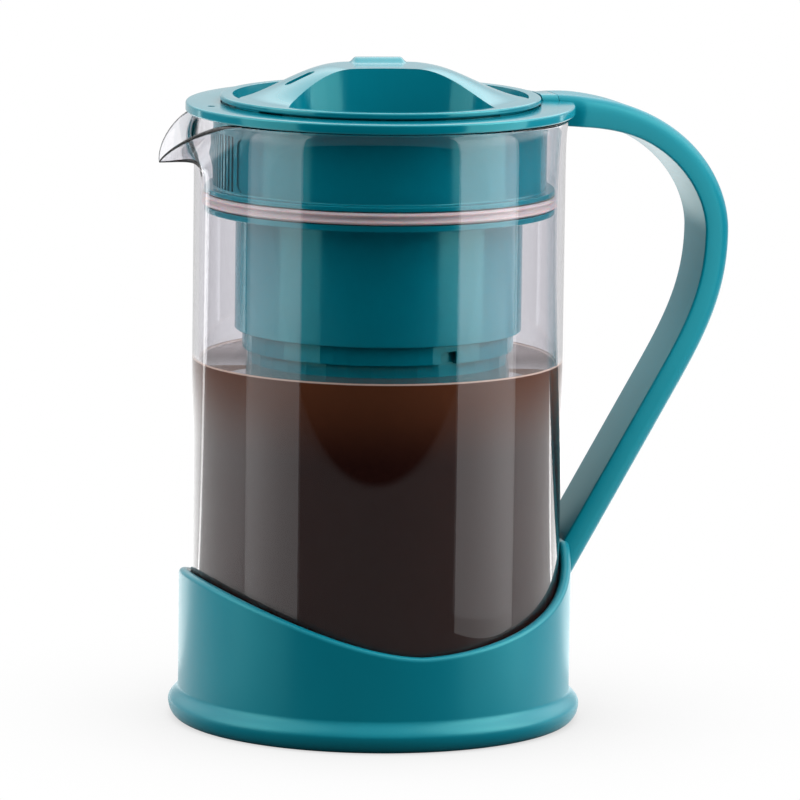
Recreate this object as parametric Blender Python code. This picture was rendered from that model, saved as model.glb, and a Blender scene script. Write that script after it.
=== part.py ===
"""Cold brew coffee maker: glass beaker in a one-piece plastic holder, with a lid,
a turning knob that opens the pouring grille, and a fine filter that hangs below.

Metres, +Z up. The origin is the centre of the underside, on the surface that it
stands on. +X points to the handle and -X to the spout.
"""
import math

import bmesh
import bpy
from mathutils import Matrix, Vector

# Driving dimensions, in metres and degrees

# Glass beaker
GLASS_RADIUS = 0.056
GLASS_WALL = 0.0018
GLASS_FLOOR = 0.0026
GLASS_HEIGHT = 0.1797
GLASS_FOOT_ROUND = 0.006
RIM_FLARE = 0.0011
RIM_FLARE_HEIGHT = 0.0045
SPOUT_HALF_ANGLE = 27.4
SPOUT_REACH = 0.0126
SPOUT_DROP = 0.0124
SPOUT_ZONE = 0.0200

# Holder: cup and handle in one moulding
BASE_FLOOR = 0.004
CUP_CLEARANCE = 0.0004
CUP_WALL = 0.0031
CUP_LOW_HEIGHT = 0.0285
CUP_FRONT_HEIGHT = 0.046
CUP_BACK_RISE = 0.020
CUP_SWEEP = 0.0045
CUP_LOW_ANGLE = 92.0
CUP_SEAM_HEIGHT = 0.024
FOOT_FLARE = 0.0030
FOOT_HEIGHT = 0.011
FOOT_FLAT_INSET = 0.0035
FOOT_TOP_ROUND = 0.0035
FOOT_FILLET = 0.0012
UNDERSIDE_RECESS = 0.0008
UNDERSIDE_BUTTON_RADIUS = 0.012
UNDERSIDE_RIM_WIDTH = 0.006
HANDLE_WIDTH = 0.0215
HANDLE_THICKNESS = 0.0080
HANDLE_CLEAR_REACH = 0.0533
HANDLE_REACH_DROP = 0.0428
HANDLE_CROWN_RISE = 0.0020
HANDLE_BEND_CLEAR_REACH = 0.0372
HANDLE_BEND_HEIGHT = 0.0988
HANDLE_ROOT_HEIGHT = 0.0351
HANDLE_TOP_SLOPE = 1.6
HANDLE_CROWN_PULL = 0.0396
HANDLE_GRIP_PULL_UP = 0.0169
HANDLE_GRIP_PULL_DOWN = 0.0193
HANDLE_BEND_PULL = 0.0181
HANDLE_INNER_ROUND = 0.0008
HANDLE_OUTER_ROUND = 0.0034
HANDLE_SIDE_BULGE = 0.0006
HOOK_OVERHANG = 0.0001
HOOK_WIDTH = 0.0165
HOOK_TAPER_LENGTH = 0.0075
HOOK_EXTRA_THICKNESS = 0.0014
HOOK_THIN_LENGTH = 0.035

# Lid
LID_SEAT = 0.0004
RING_OVERHANG = 0.0027
RING_THICKNESS = 0.0029
RING_EDGE_ROUND = 0.0006
SKIRT_INSET = 0.0039
SKIRT_WALL = 0.0022
SKIRT_DEPTH = 0.0221
FLANGE_INSET = 0.0014
UPPER_FLANGE = 0.0015
GASKET_SLOT = 0.0041
LOWER_FLANGE = 0.0018
LEDGE_THICKNESS = 0.0022
COLLAR_INSET = 0.0109
COLLAR_WALL = 0.0020
COLLAR_LENGTH = 0.0357
LID_TAB_INSET = 0.0093
LID_TAB_WIDTH = 0.0135
NOTCH_CLEARANCE = 0.0004
DOT_RADIUS = 0.0012
DOT_INSET = 0.0057
DOT_DEPTH = 0.0004
GRILLE_HALF_ANGLE = 13.0
GRILLE_SLOTS = 11
GRILLE_SLOT_WIDTH = 0.0011
GRILLE_HEIGHT = 0.0165
GRILLE_TOP_DROP = 0.0050
PANEL_START_ANGLE = 16.0
PANEL_END_ANGLE = 44.0
PANEL_DEPTH = 0.0005
PANEL_ROUND = 0.0030

# Gasket
GASKET_FIT = 0.0003
GASKET_LIP = 0.0007
GASKET_CLEARANCE = 0.0003

# Knob
KNOB_GAP = 0.0004
DISC_LIP = 0.0002
DISC_THICKNESS = 0.0018
DISC_EDGE_ROUND = 0.0006
DISC_SHOULDER = 0.0053
DOME_FLAT_RADIUS = 0.0135
DOME_HEIGHT = 0.0090
POCKET_RIM_WIDTH = 0.0037
POCKET_DEPTH = 0.0105
POCKET_WALL = 0.0014
GRIP_ANGLE = -11.5
FRONT_POCKET_CREST_SHARE = -0.20
FRONT_POCKET_TIPS_SHARE = -0.729
BACK_POCKET_CREST_SHARE = 0.224
BACK_POCKET_TIPS_SHARE = -0.224
MARK_INNER = 0.0210
MARK_OUTER = 0.0300
MARK_WIDTH = 0.0034
MARK_DEPTH = 0.0012
PAD_LENGTH = 0.0175
PAD_START = 0.0030
PAD_RAMP_LENGTH = 0.0055
PAD_EASE = 0.0020
PAD_HEIGHT = 0.0015

# Shutter sleeve and its seal
SLEEVE_CLEARANCE = 0.0003
SLEEVE_WALL = 0.0015
WINDOW_MARGIN_ANGLE = 3.0
WINDOW_MARGIN = 0.0008
SEAL_THICKNESS = 0.0012
SEAL_CLEARANCE = 0.0003

# Filter
FILTER_CLEARANCE = 0.0003
TOP_RING_DROP = 0.0057
TOP_RING_RISE = 0.0100
TOP_RING_WALL = 0.0018
BAYONET_COUNT = 3
BAYONET_FIRST_ANGLE = -76.5
BAYONET_HALF_ANGLE = 3.2
BAYONET_SLACK_ANGLE = 0.6
BAYONET_TURN = 30.0
BAYONET_SILL = 0.0010
BAYONET_GROOVE_HEIGHT = 0.0027
BAYONET_GROOVE_DEPTH = 0.0011
BASKET_STEP = 0.0005
BASKET_WALL = 0.0016
BASKET_NECK_HEIGHT = 0.0065
BASKET_SKIRT_HEIGHT = 0.0080
CAGE_INSET = 0.0014
CAGE_TAPER = 0.0045
CAGE_THICKNESS = 0.0022
CAGE_BOTTOM = 0.0300
CAGE_RIBS = 6
CAGE_HOOPS = 3
CAGE_BAR_WIDTH = 0.0036
MESH_WALL = 0.0006
MESH_CLEARANCE = 0.0003
CAP_SKIRT = 0.0060
CAP_WALL = 0.0016
CAP_FLOOR = 0.0018
CAP_SPOKES = 4
CAP_SPOKE_WIDTH = 0.0040
CAP_RING_WIDTH = 0.0050

# Fineness of the round forms
ROUND_STEPS = 60
SMALL_ROUND_STEPS = 36
SPOUT_STEPS = 12
GLASS_WALL_STEPS = 5
CORNER_STEPS = 2
SECTOR_STEPS = 4
PANEL_STEPS = 8
DOT_STEPS = 10
HANDLE_STEPS = 12
OVERRUN = 0.002
MERGE_SHARE = 0.0001

# Heights that follow from the sizes above
GLASS_BOTTOM = BASE_FLOOR + CUP_CLEARANCE
RIM_TOP = GLASS_BOTTOM + GLASS_HEIGHT
RING_BOTTOM = RIM_TOP + LID_SEAT
RING_TOP = RING_BOTTOM + RING_THICKNESS
FLANGE_TOP = RING_BOTTOM - SKIRT_DEPTH
GASKET_TOP = FLANGE_TOP - UPPER_FLANGE
GASKET_BOTTOM = GASKET_TOP - GASKET_SLOT
LEDGE_BOTTOM = GASKET_BOTTOM - LOWER_FLANGE
LEDGE_TOP = LEDGE_BOTTOM + LEDGE_THICKNESS
COLLAR_BOTTOM = LEDGE_BOTTOM - COLLAR_LENGTH
DISC_BOTTOM = RING_TOP + KNOB_GAP
DISC_TOP = DISC_BOTTOM + DISC_THICKNESS
HANDLE_CROWN_HEIGHT = RING_TOP + HANDLE_CROWN_RISE
HANDLE_REACH_HEIGHT = HANDLE_CROWN_HEIGHT - HANDLE_REACH_DROP

# Radii that follow from the beaker's
GLASS_BORE = GLASS_RADIUS - GLASS_WALL
CUP_BORE = GLASS_RADIUS + CUP_CLEARANCE
CUP_RADIUS = CUP_BORE + CUP_WALL
FOOT_RADIUS = CUP_RADIUS + FOOT_FLARE
FOOT_FLAT_RADIUS = FOOT_RADIUS - FOOT_FLAT_INSET
HANDLE_REACH = GLASS_RADIUS + HANDLE_CLEAR_REACH
HANDLE_BEND_REACH = GLASS_RADIUS + HANDLE_BEND_CLEAR_REACH
RING_RADIUS = GLASS_RADIUS + RING_OVERHANG
LID_TAB_INNER = RING_RADIUS - LID_TAB_INSET
DOT_REACH = RING_RADIUS - DOT_INSET
SKIRT_RADIUS = GLASS_BORE - SKIRT_INSET
SKIRT_BORE = SKIRT_RADIUS - SKIRT_WALL
GASKET_FLANGE_RADIUS = GLASS_BORE - FLANGE_INSET
GASKET_RADIUS = GLASS_BORE - GASKET_FIT
HOOK_INNER = GASKET_RADIUS + GASKET_CLEARANCE + HOOK_OVERHANG
COLLAR_RADIUS = GLASS_BORE - COLLAR_INSET
COLLAR_BORE = COLLAR_RADIUS - COLLAR_WALL
DISC_RADIUS = SKIRT_BORE + DISC_LIP
DOME_RADIUS = DISC_RADIUS - DISC_SHOULDER
POCKET_RADIUS = DISC_RADIUS - POCKET_RIM_WIDTH
TOP_RING_RADIUS = COLLAR_BORE - FILTER_CLEARANCE
TOP_RING_BORE = TOP_RING_RADIUS - TOP_RING_WALL
NECK_RADIUS = TOP_RING_BORE - FILTER_CLEARANCE
BASKET_RADIUS = NECK_RADIUS + BASKET_STEP
CAGE_TOP_RADIUS = BASKET_RADIUS - CAGE_INSET
CAGE_BOTTOM_RADIUS = CAGE_TOP_RADIUS - CAGE_TAPER


# Materials

def plastic(name, colour, roughness):
    """A moulded plastic or rubber."""
    material = bpy.data.materials.new(name)
    material.use_nodes = True
    shader = material.node_tree.nodes["Principled BSDF"]
    shader.inputs["Base Color"].default_value = (*colour, 1.0)
    shader.inputs["Roughness"].default_value = roughness
    shader.inputs["Metallic"].default_value = 0.0
    return material


def steel(name, colour, roughness):
    """A woven steel wire."""
    material = plastic(name, colour, roughness)
    material.node_tree.nodes["Principled BSDF"].inputs["Metallic"].default_value = 1.0
    return material


def clear_glass(name):
    """Clear borosilicate glass."""
    material = plastic(name, (0.95, 0.97, 0.97), 0.02)
    shader = material.node_tree.nodes["Principled BSDF"]
    shader.inputs["Transmission Weight"].default_value = 1.0
    shader.inputs["IOR"].default_value = 1.47
    return material


TEAL = (0.0, 0.19, 0.23)


# Building tools

def finish(name, mesh_data, material, smooth_angle=35.0):
    """Turn a bmesh into a named, shaded object."""
    mesh = bpy.data.meshes.new(name)
    bmesh.ops.recalc_face_normals(mesh_data, faces=mesh_data.faces)
    mesh_data.to_mesh(mesh)
    mesh_data.free()
    mesh.shade_smooth()
    mesh.set_sharp_from_angle(angle=math.radians(smooth_angle))
    piece = bpy.data.objects.new(name, mesh)
    bpy.context.collection.objects.link(piece)
    if material is not None:
        mesh.materials.append(material)
    return piece


def rounded(corners, closed=True):
    """Round the corners (x, z, radius) of an outline and return its points."""
    points = []
    count = len(corners)
    for index, (x, z, radius) in enumerate(corners):
        here = Vector((x, z))
        if radius == 0 or (not closed and index in (0, count - 1)):
            points.append(here)
            continue
        before = Vector(corners[index - 1][:2]) - here
        after = Vector(corners[(index + 1) % count][:2]) - here
        half = before.angle(after) / 2
        reach = radius / math.tan(half)
        start = here + before.normalized() * reach
        end = here + after.normalized() * reach
        centre = here + (before.normalized() + after.normalized()).normalized() * radius / math.sin(half)
        sweep = math.pi - 2 * half
        turn = math.copysign(sweep, (start - centre).cross(end - centre))
        for step in range(CORNER_STEPS + 1):
            angle = turn * step / CORNER_STEPS
            arm = start - centre
            points.append(centre + Vector((arm.x * math.cos(angle) - arm.y * math.sin(angle),
                                           arm.x * math.sin(angle) + arm.y * math.cos(angle))))
    return points


def turned(name, corners, material, steps=ROUND_STEPS):
    """Spin a closed outline of (radius, height, corner radius) about Z."""
    shape = bmesh.new()
    points = rounded(corners)
    verts = [shape.verts.new((point.x, 0, point.y)) for point in points]
    edges = [shape.edges.new((verts[i - 1], verts[i])) for i in range(len(verts))]
    bmesh.ops.spin(shape, geom=verts + edges, cent=(0, 0, 0), axis=(0, 0, 1),
                   angle=math.tau, steps=steps, use_merge=True)
    merge = min(corner[0] for corner in corners if corner[0] > 0) * MERGE_SHARE
    bmesh.ops.remove_doubles(shape, verts=shape.verts, dist=merge)
    return finish(name, shape, material)


def bezier(start, first_pull, second_pull, end, steps):
    """Points on a cubic curve from start to end, without the end."""
    points = []
    for step in range(steps):
        t = step / steps
        points.append(start * (1 - t) ** 3 + first_pull * 3 * t * (1 - t) ** 2
                      + second_pull * 3 * t ** 2 * (1 - t) + end * t ** 3)
    return points


def swept(name, rings, material, smooth_angle=35.0):
    """Skin closed rings of points along a path, and cap both ends."""
    shape = bmesh.new()
    loops = [[shape.verts.new(point) for point in ring] for ring in rings]
    for loop, other in zip(loops, loops[1:]):
        for i in range(len(loop)):
            j = (i + 1) % len(loop)
            shape.faces.new((loop[i], loop[j], other[j], other[i]))
    shape.faces.new(loops[0])
    shape.faces.new(list(reversed(loops[-1])))
    return finish(name, shape, material, smooth_angle)


def prism(name, outline, low, high):
    """Extrude a flat outline of (x, y) points from one height to another."""
    rings = [[(x, y, height) for x, y in outline] for height in (low, high)]
    return swept(name, rings, None)


def combine(piece, tool, operation):
    """Cut a tool from a piece, or join it on, and hide the tool."""
    step = piece.modifiers.new(f"{operation} {tool.name}", "BOOLEAN")
    step.operation = operation
    step.object = tool
    step.solver = "EXACT"
    tool.hide_render = True
    tool.display_type = "WIRE"
    return piece


def cut(piece, tool):
    """Take a tool's shape out of a piece."""
    return combine(piece, tool, "DIFFERENCE")


def join(piece, tool):
    """Make a tool's shape part of a piece."""
    return combine(piece, tool, "UNION")


def polar(radius, degrees):
    """A point on a circle about the origin."""
    angle = math.radians(degrees)
    return radius * math.cos(angle), radius * math.sin(angle)


def sector(inner, outer, first, last, steps=SECTOR_STEPS):
    """The outline of a sector of a flat ring, between two angles."""
    angles = [first + (last - first) * step / steps for step in range(steps + 1)]
    return [polar(outer, angle) for angle in angles] + [polar(inner, angle) for angle in reversed(angles)]


def smooth_step(value):
    """Ease from 0 to 1."""
    value = min(max(value, 0.0), 1.0)
    return value * value * (3 - 2 * value)


# Glass beaker

SPOUT_REACH_POWERS = (1.4, 2.1)
SPOUT_DROP_POWERS = (1.0, 2.1)
SPOUT_CURL_SHARE = 0.15
WALL_PULL_SHARE = 0.6
SPOUT_PULL_SHARE = 1.1


def spout_share(degrees, powers):
    """1 at the middle of the spout, which points to 180 degrees, easing to 0 beside it."""
    away = min(1.0, abs(degrees - 180) / SPOUT_HALF_ANGLE)
    return (1 - away ** powers[0]) ** powers[1]


def glass_angles():
    """Even steps round the beaker, with closer ones over the spout."""
    free = 360 - 2 * SPOUT_HALF_ANGLE
    even = ROUND_STEPS - SPOUT_STEPS
    start = 180 + SPOUT_HALF_ANGLE
    around = [start + free * step / even for step in range(even)]
    spout = [180 - SPOUT_HALF_ANGLE + 2 * SPOUT_HALF_ANGLE * step / SPOUT_STEPS for step in range(SPOUT_STEPS)]
    return [angle % 360 for angle in around] + spout


def glass_upper_wall(degrees):
    """The top of the wall at one angle: (outside point, inside point) pairs, and the rim's crest.

    Beside the spout it rises straight to a small flare. In the spout it turns
    outwards below the rim and runs almost level to the lip.
    """
    share = spout_share(degrees, SPOUT_REACH_POWERS)
    lip = RIM_TOP - SPOUT_DROP * spout_share(degrees, SPOUT_DROP_POWERS) - GLASS_WALL / 2
    reach = SPOUT_REACH * share
    start = Vector((GLASS_RADIUS, RIM_TOP - SPOUT_ZONE))
    pull = WALL_PULL_SHARE + (SPOUT_PULL_SHARE - WALL_PULL_SHARE) * share
    first_pull = Vector((GLASS_RADIUS, start.y + (lip - start.y) * pull))
    second_pull = Vector((GLASS_RADIUS + reach * SPOUT_CURL_SHARE, lip - RIM_FLARE_HEIGHT * (1 - share) / 2))
    end = Vector((GLASS_RADIUS + RIM_FLARE + reach - GLASS_WALL / 2 * share, lip))
    outside = bezier(start, first_pull, second_pull, end, GLASS_WALL_STEPS) + [end]
    inside = []
    for index, point in enumerate(outside):
        along = outside[min(index + 1, len(outside) - 1)] - outside[max(index - 1, 0)]
        if index == 0:
            along = Vector((0, 1))
        along.normalize()
        inside.append(point + Vector((-along.y, along.x)) * GLASS_WALL)
    crest = (outside[-1] + inside[-1]) / 2 + along * GLASS_WALL / 2
    return outside, inside, crest


def glass_column(degrees):
    """The beaker's closed section at one angle, outside up and inside down."""
    outer, inner, crest = glass_upper_wall(degrees)
    low = outer[0].y
    foot = rounded([(GLASS_RADIUS, low, 0),
                    (GLASS_RADIUS, GLASS_BOTTOM, GLASS_FOOT_ROUND),
                    (0, GLASS_BOTTOM, 0)], closed=False)
    floor = rounded([(GLASS_BORE, low, 0),
                     (GLASS_BORE, GLASS_BOTTOM + GLASS_FLOOR, GLASS_FOOT_ROUND - GLASS_WALL),
                     (0, GLASS_BOTTOM + GLASS_FLOOR, 0)], closed=False)
    outside = foot[-2:0:-1] + outer + [crest]
    return [(point.x, point.y) for point in outside + inner[::-1] + floor[1:-1]]


def glass_carafe():
    """The beaker: one wall with a rounded foot, a flared rim and a drawn spout."""
    shape = bmesh.new()
    columns = []
    for degrees in glass_angles():
        column = [(*polar(radius, degrees), height) for radius, height in glass_column(degrees)]
        columns.append([shape.verts.new(place) for place in column])
    below = shape.verts.new((0, 0, GLASS_BOTTOM))
    above = shape.verts.new((0, 0, GLASS_BOTTOM + GLASS_FLOOR))
    for index, column in enumerate(columns):
        other = columns[(index + 1) % len(columns)]
        for i in range(len(column) - 1):
            shape.faces.new((column[i], other[i], other[i + 1], column[i + 1]))
        shape.faces.new((below, other[0], column[0]))
        shape.faces.new((above, column[-1], other[-1]))
    return finish("glass_carafe", shape, clear_glass("borosilicate glass"))


# Holder

CUP_FRONT_POWER = 0.85
CUP_BACK_POWER = 1.6
CUP_SWEEP_POWER = 5.0
CUP_RIM_ROUND_SHARE = 0.46


def cup_rim_height(degrees):
    """The wave of the cup's rim: low at the sides, high at the spout and the handle."""
    angle = abs((degrees + 180) % 360 - 180)
    if angle >= CUP_LOW_ANGLE:
        share = ((angle - CUP_LOW_ANGLE) / (180 - CUP_LOW_ANGLE)) ** CUP_FRONT_POWER
        return CUP_LOW_HEIGHT + (CUP_FRONT_HEIGHT - CUP_LOW_HEIGHT) * (1 - math.cos(math.pi * share)) / 2
    share = (CUP_LOW_ANGLE - angle) / CUP_LOW_ANGLE
    rise = CUP_BACK_RISE * min(1.0, share / HANDLE_EDGE_SHARE) ** CUP_BACK_POWER
    sweep = CUP_SWEEP * min(1.0, share / HANDLE_EDGE_SHARE) ** CUP_SWEEP_POWER
    return CUP_LOW_HEIGHT + rise + sweep


HANDLE_EDGE_SHARE = 1 - math.degrees(math.asin(HANDLE_WIDTH / 2 / CUP_RADIUS)) / CUP_LOW_ANGLE


def cup_column(degrees):
    """The cup's closed section at one angle, from the underside round to the floor."""
    rim = cup_rim_height(degrees)
    soft = CUP_WALL * CUP_RIM_ROUND_SHARE
    corners = [(UNDERSIDE_BUTTON_RADIUS, 0, 0),
               (UNDERSIDE_BUTTON_RADIUS + UNDERSIDE_RECESS, UNDERSIDE_RECESS, 0),
               (FOOT_FLAT_RADIUS - UNDERSIDE_RIM_WIDTH - UNDERSIDE_RECESS, UNDERSIDE_RECESS, 0),
               (FOOT_FLAT_RADIUS - UNDERSIDE_RIM_WIDTH, 0, 0),
               (FOOT_FLAT_RADIUS, 0, FOOT_TOP_ROUND / 2),
               (FOOT_RADIUS, FOOT_HEIGHT / 2, FOOT_TOP_ROUND),
               (CUP_RADIUS + FOOT_FILLET, FOOT_HEIGHT, FOOT_FILLET),
               (CUP_RADIUS, FOOT_HEIGHT + FOOT_FILLET, 0),
               (CUP_RADIUS, CUP_SEAM_HEIGHT, 0),
               (CUP_RADIUS, rim, soft),
               (CUP_BORE, rim, soft),
               (CUP_BORE, BASE_FLOOR, FOOT_FILLET)]
    return rounded(corners + [(0, BASE_FLOOR, 0)], closed=False)[:-1]


def cup():
    """The cup that the beaker stands in."""
    shape = bmesh.new()
    columns = []
    for step in range(ROUND_STEPS):
        degrees = 360 * step / ROUND_STEPS
        column = [(*polar(point.x, degrees), point.y) for point in cup_column(degrees)]
        columns.append([shape.verts.new(place) for place in column])
    below = shape.verts.new((0, 0, 0))
    above = shape.verts.new((0, 0, BASE_FLOOR))
    for index, column in enumerate(columns):
        other = columns[(index + 1) % len(columns)]
        for i in range(len(column) - 1):
            shape.faces.new((column[i], other[i], other[i + 1], column[i + 1]))
        shape.faces.new((below, other[0], column[0]))
        shape.faces.new((above, column[-1], other[-1]))
    return finish("base_with_handle", shape, plastic("holder plastic", TEAL, 0.35))


def handle_path():
    """The handle's outer line in the XZ plane, from the hook down to the cup."""
    slope = math.radians(HANDLE_TOP_SLOPE)
    hook = Vector((HOOK_INNER, HANDLE_CROWN_HEIGHT))
    grip = Vector((HANDLE_REACH, HANDLE_REACH_HEIGHT))
    bend = Vector((HANDLE_BEND_REACH, HANDLE_BEND_HEIGHT))
    root = Vector((GLASS_RADIUS, HANDLE_ROOT_HEIGHT))
    down = (root - bend).normalized()
    crown_pull = hook + Vector((math.cos(slope), -math.sin(slope))) * HANDLE_CROWN_PULL
    grip_up = grip + Vector((0, HANDLE_GRIP_PULL_UP))
    grip_down = grip - Vector((0, HANDLE_GRIP_PULL_DOWN))
    bend_up = bend - down * HANDLE_BEND_PULL
    path = bezier(hook, crown_pull, grip_up, grip, HANDLE_STEPS * 2)
    path += bezier(grip, grip_down, bend_up, bend, HANDLE_STEPS)
    return path + [bend, root]


def handle_section(width, thickness):
    """The strap's D section, as (depth below the outer face, sideways)."""
    half = width / 2
    corners = [(0, -half + HANDLE_SIDE_BULGE, HANDLE_OUTER_ROUND),
               (0, half - HANDLE_SIDE_BULGE, HANDLE_OUTER_ROUND),
               (thickness / 2, half, 0),
               (thickness, half - HANDLE_SIDE_BULGE, HANDLE_INNER_ROUND),
               (thickness, -half + HANDLE_SIDE_BULGE, HANDLE_INNER_ROUND),
               (thickness / 2, -half, 0)]
    return rounded(corners)


def hook_width_at(reach):
    """The strap's width near its top end, where it narrows to the hook."""
    share = min(1.0, (reach - HOOK_INNER) / HOOK_TAPER_LENGTH)
    return HOOK_WIDTH + (HANDLE_WIDTH - HOOK_WIDTH) * share


def hook_thickness_at(reach):
    """The strap's thickness, which grows a little towards the hook."""
    return HANDLE_THICKNESS + HOOK_EXTRA_THICKNESS * (1 - smooth_step((reach - HOOK_INNER) / HOOK_THIN_LENGTH))


def handle():
    """The strap: a D section swept down its line, narrowed and thickened to the hook at the top."""
    path = handle_path()
    rings = []
    for index, point in enumerate(path):
        ahead = path[min(index + 1, len(path) - 1)]
        behind = path[max(index - 1, 0)]
        along = (ahead - behind).normalized()
        inward = Vector((along.y, -along.x))
        upper = point.y > HANDLE_REACH_HEIGHT
        width = hook_width_at(point.x) if upper else HANDLE_WIDTH
        thickness = hook_thickness_at(point.x) if upper else HANDLE_THICKNESS
        ring = []
        for depth, side in handle_section(width, thickness):
            place = point + inward * depth
            ring.append((max(place.x, HOOK_INNER) if index == 0 else place.x, side, place.y))
        rings.append(ring)
    strap = swept("handle strap", rings, None)
    middle = CUP_BORE + CUP_WALL / 2
    beaker = prism("beaker space", [polar(middle, 360 * step / ROUND_STEPS) for step in range(ROUND_STEPS)],
                   -OVERRUN, HANDLE_BEND_HEIGHT)
    cut(strap, beaker)
    bead = GLASS_RADIUS + RIM_FLARE + CUP_CLEARANCE
    bead_space = turned("bead space", [
        (bead, RIM_TOP + CUP_CLEARANCE, 0), (bead, RIM_TOP - SPOUT_ZONE, 0),
        (HOOK_INNER - OVERRUN, RIM_TOP - SPOUT_ZONE, 0), (HOOK_INNER - OVERRUN, RIM_TOP + CUP_CLEARANCE, 0)], None)
    cut(strap, bead_space)
    return strap


def base_with_handle():
    """The holder: cup and handle in one moulding."""
    return join(cup(), handle())


# Lid

def tab_outline(inner, outer, inner_width, outer_width):
    """A tapered tab towards the handle."""
    return [(inner, -inner_width / 2), (outer, -outer_width / 2),
            (outer, outer_width / 2), (inner, inner_width / 2)]


def grille_slots():
    """The slots of the pouring grille, as one comb of separate blades."""
    shape = bmesh.new()
    top = RING_BOTTOM - GRILLE_TOP_DROP
    for index in range(GRILLE_SLOTS):
        angle = 180 + GRILLE_HALF_ANGLE * (2 * index / (GRILLE_SLOTS - 1) - 1)
        size = Vector((SKIRT_WALL + 2 * OVERRUN, GRILLE_SLOT_WIDTH, GRILLE_HEIGHT))
        place = (Matrix.Rotation(math.radians(angle), 4, "Z")
                 @ Matrix.Translation((SKIRT_RADIUS - SKIRT_WALL / 2, 0, top - GRILLE_HEIGHT / 2))
                 @ Matrix.Diagonal((*size, 1)))
        bmesh.ops.create_cube(shape, size=1, matrix=place)
    return finish("grille slots", shape, None)


def side_panel(name, side):
    """A shallow recess beside the grille, with rounded corners."""
    top = RING_BOTTOM - GRILLE_TOP_DROP
    bottom = top - GRILLE_HEIGHT
    inner = SKIRT_RADIUS - PANEL_DEPTH
    start = inner * math.radians(PANEL_START_ANGLE)
    end = inner * math.radians(PANEL_END_ANGLE)
    outline = rounded([(start, bottom, PANEL_ROUND), (end, bottom, PANEL_ROUND),
                       (end, top, PANEL_ROUND), (start, top, PANEL_ROUND)])
    low = [point for point in outline if point.y < (top + bottom) / 2]
    high = [point for point in outline if point.y >= (top + bottom) / 2]

    def edge_height(points, arc):
        points = sorted(points, key=lambda point: point.x)
        for before, after in zip(points, points[1:]):
            if before.x <= arc <= after.x and after.x > before.x:
                return before.y + (after.y - before.y) * (arc - before.x) / (after.x - before.x)
        return points[0].y if arc <= points[0].x else points[-1].y

    rings = []
    for step in range(PANEL_STEPS + 1):
        arc = start + (end - start) * (1 - math.cos(math.pi * step / PANEL_STEPS)) / 2
        angle = 180 + side * math.degrees(arc / inner)
        bottom_here = edge_height(low, arc)
        top_here = edge_height(high, arc)
        near = polar(inner, angle)
        far = polar(SKIRT_RADIUS + PANEL_DEPTH, angle)
        rings.append([(*near, bottom_here), (*far, bottom_here), (*far, top_here), (*near, top_here)])
    return swept(name, rings, None)


def lid_body():
    """The lid: ring, skirt with its grille, gasket flanges and the filter's collar."""
    edge = RING_EDGE_ROUND
    lid = turned("lid_body", [
        (SKIRT_BORE, RING_TOP, 0),
        (RING_RADIUS, RING_TOP, edge),
        (RING_RADIUS, RING_BOTTOM, edge),
        (SKIRT_RADIUS, RING_BOTTOM, edge),
        (SKIRT_RADIUS, FLANGE_TOP, edge),
        (GASKET_FLANGE_RADIUS, FLANGE_TOP, 0),
        (GASKET_FLANGE_RADIUS, GASKET_TOP, 0),
        (SKIRT_RADIUS, GASKET_TOP, 0),
        (SKIRT_RADIUS, GASKET_BOTTOM, 0),
        (GASKET_FLANGE_RADIUS, GASKET_BOTTOM, 0),
        (GASKET_FLANGE_RADIUS, LEDGE_BOTTOM, 0),
        (COLLAR_RADIUS, LEDGE_BOTTOM, edge),
        (COLLAR_RADIUS, COLLAR_BOTTOM, 0),
        (COLLAR_BORE, COLLAR_BOTTOM, 0),
        (COLLAR_BORE, LEDGE_TOP, 0),
        (SKIRT_BORE, LEDGE_TOP, 0)], plastic("lid plastic", TEAL, 0.35))
    split = HOOK_INNER - NOTCH_CLEARANCE / 2
    tab = prism("lid tab", tab_outline(LID_TAB_INNER, split, LID_TAB_WIDTH, HOOK_WIDTH),
                RING_TOP - RING_THICKNESS / 2, HANDLE_CROWN_HEIGHT)
    join(lid, tab)
    far = RING_RADIUS + OVERRUN
    wide = 2 * NOTCH_CLEARANCE
    notch = prism("hook notch", tab_outline(split, far, HOOK_WIDTH + wide, hook_width_at(far) + wide),
                  RING_BOTTOM - OVERRUN, HANDLE_CROWN_HEIGHT + OVERRUN)
    cut(lid, notch)
    cut(lid, grille_slots())
    cut(lid, side_panel("panel recess left", 1))
    cut(lid, side_panel("panel recess right", -1))
    dot = turned("dot recess", [(0, RING_TOP + DOT_DEPTH, 0), (DOT_RADIUS, RING_TOP + DOT_DEPTH, 0),
                                (DOT_RADIUS, RING_TOP - DOT_DEPTH, 0), (0, RING_TOP - DOT_DEPTH, 0)],
                 None, DOT_STEPS)
    dot.location = (-DOT_REACH, 0, 0)
    cut(lid, dot)
    return lid


def lid_gasket():
    """The silicone ring between the flanges, with two lips that wipe the glass."""
    inner = SKIRT_RADIUS + GASKET_CLEARANCE
    top = GASKET_TOP - GASKET_CLEARANCE
    bottom = GASKET_BOTTOM + GASKET_CLEARANCE
    middle = (top + bottom) / 2
    waist = GASKET_FLANGE_RADIUS
    return turned("lid_gasket", [
        (inner, top, 0), (waist, top, 0), (GASKET_RADIUS, top - GASKET_LIP, 0),
        (waist, middle + GASKET_LIP / 2, 0), (waist, middle - GASKET_LIP / 2, 0),
        (GASKET_RADIUS, bottom + GASKET_LIP, 0), (waist, bottom, 0), (inner, bottom, 0)],
        plastic("silicone", (0.72, 0.66, 0.64), 0.45))


# Knob

DOME_STEPS = 10
POCKET_STEPS = 16
MARK_STEPS = 4


def dome_height(radius):
    """How far the knob's dome stands above its disc."""
    share = (radius - DOME_FLAT_RADIUS) / (DOME_RADIUS - DOME_FLAT_RADIUS)
    return DOME_HEIGHT * (1 - smooth_step(share))


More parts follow.
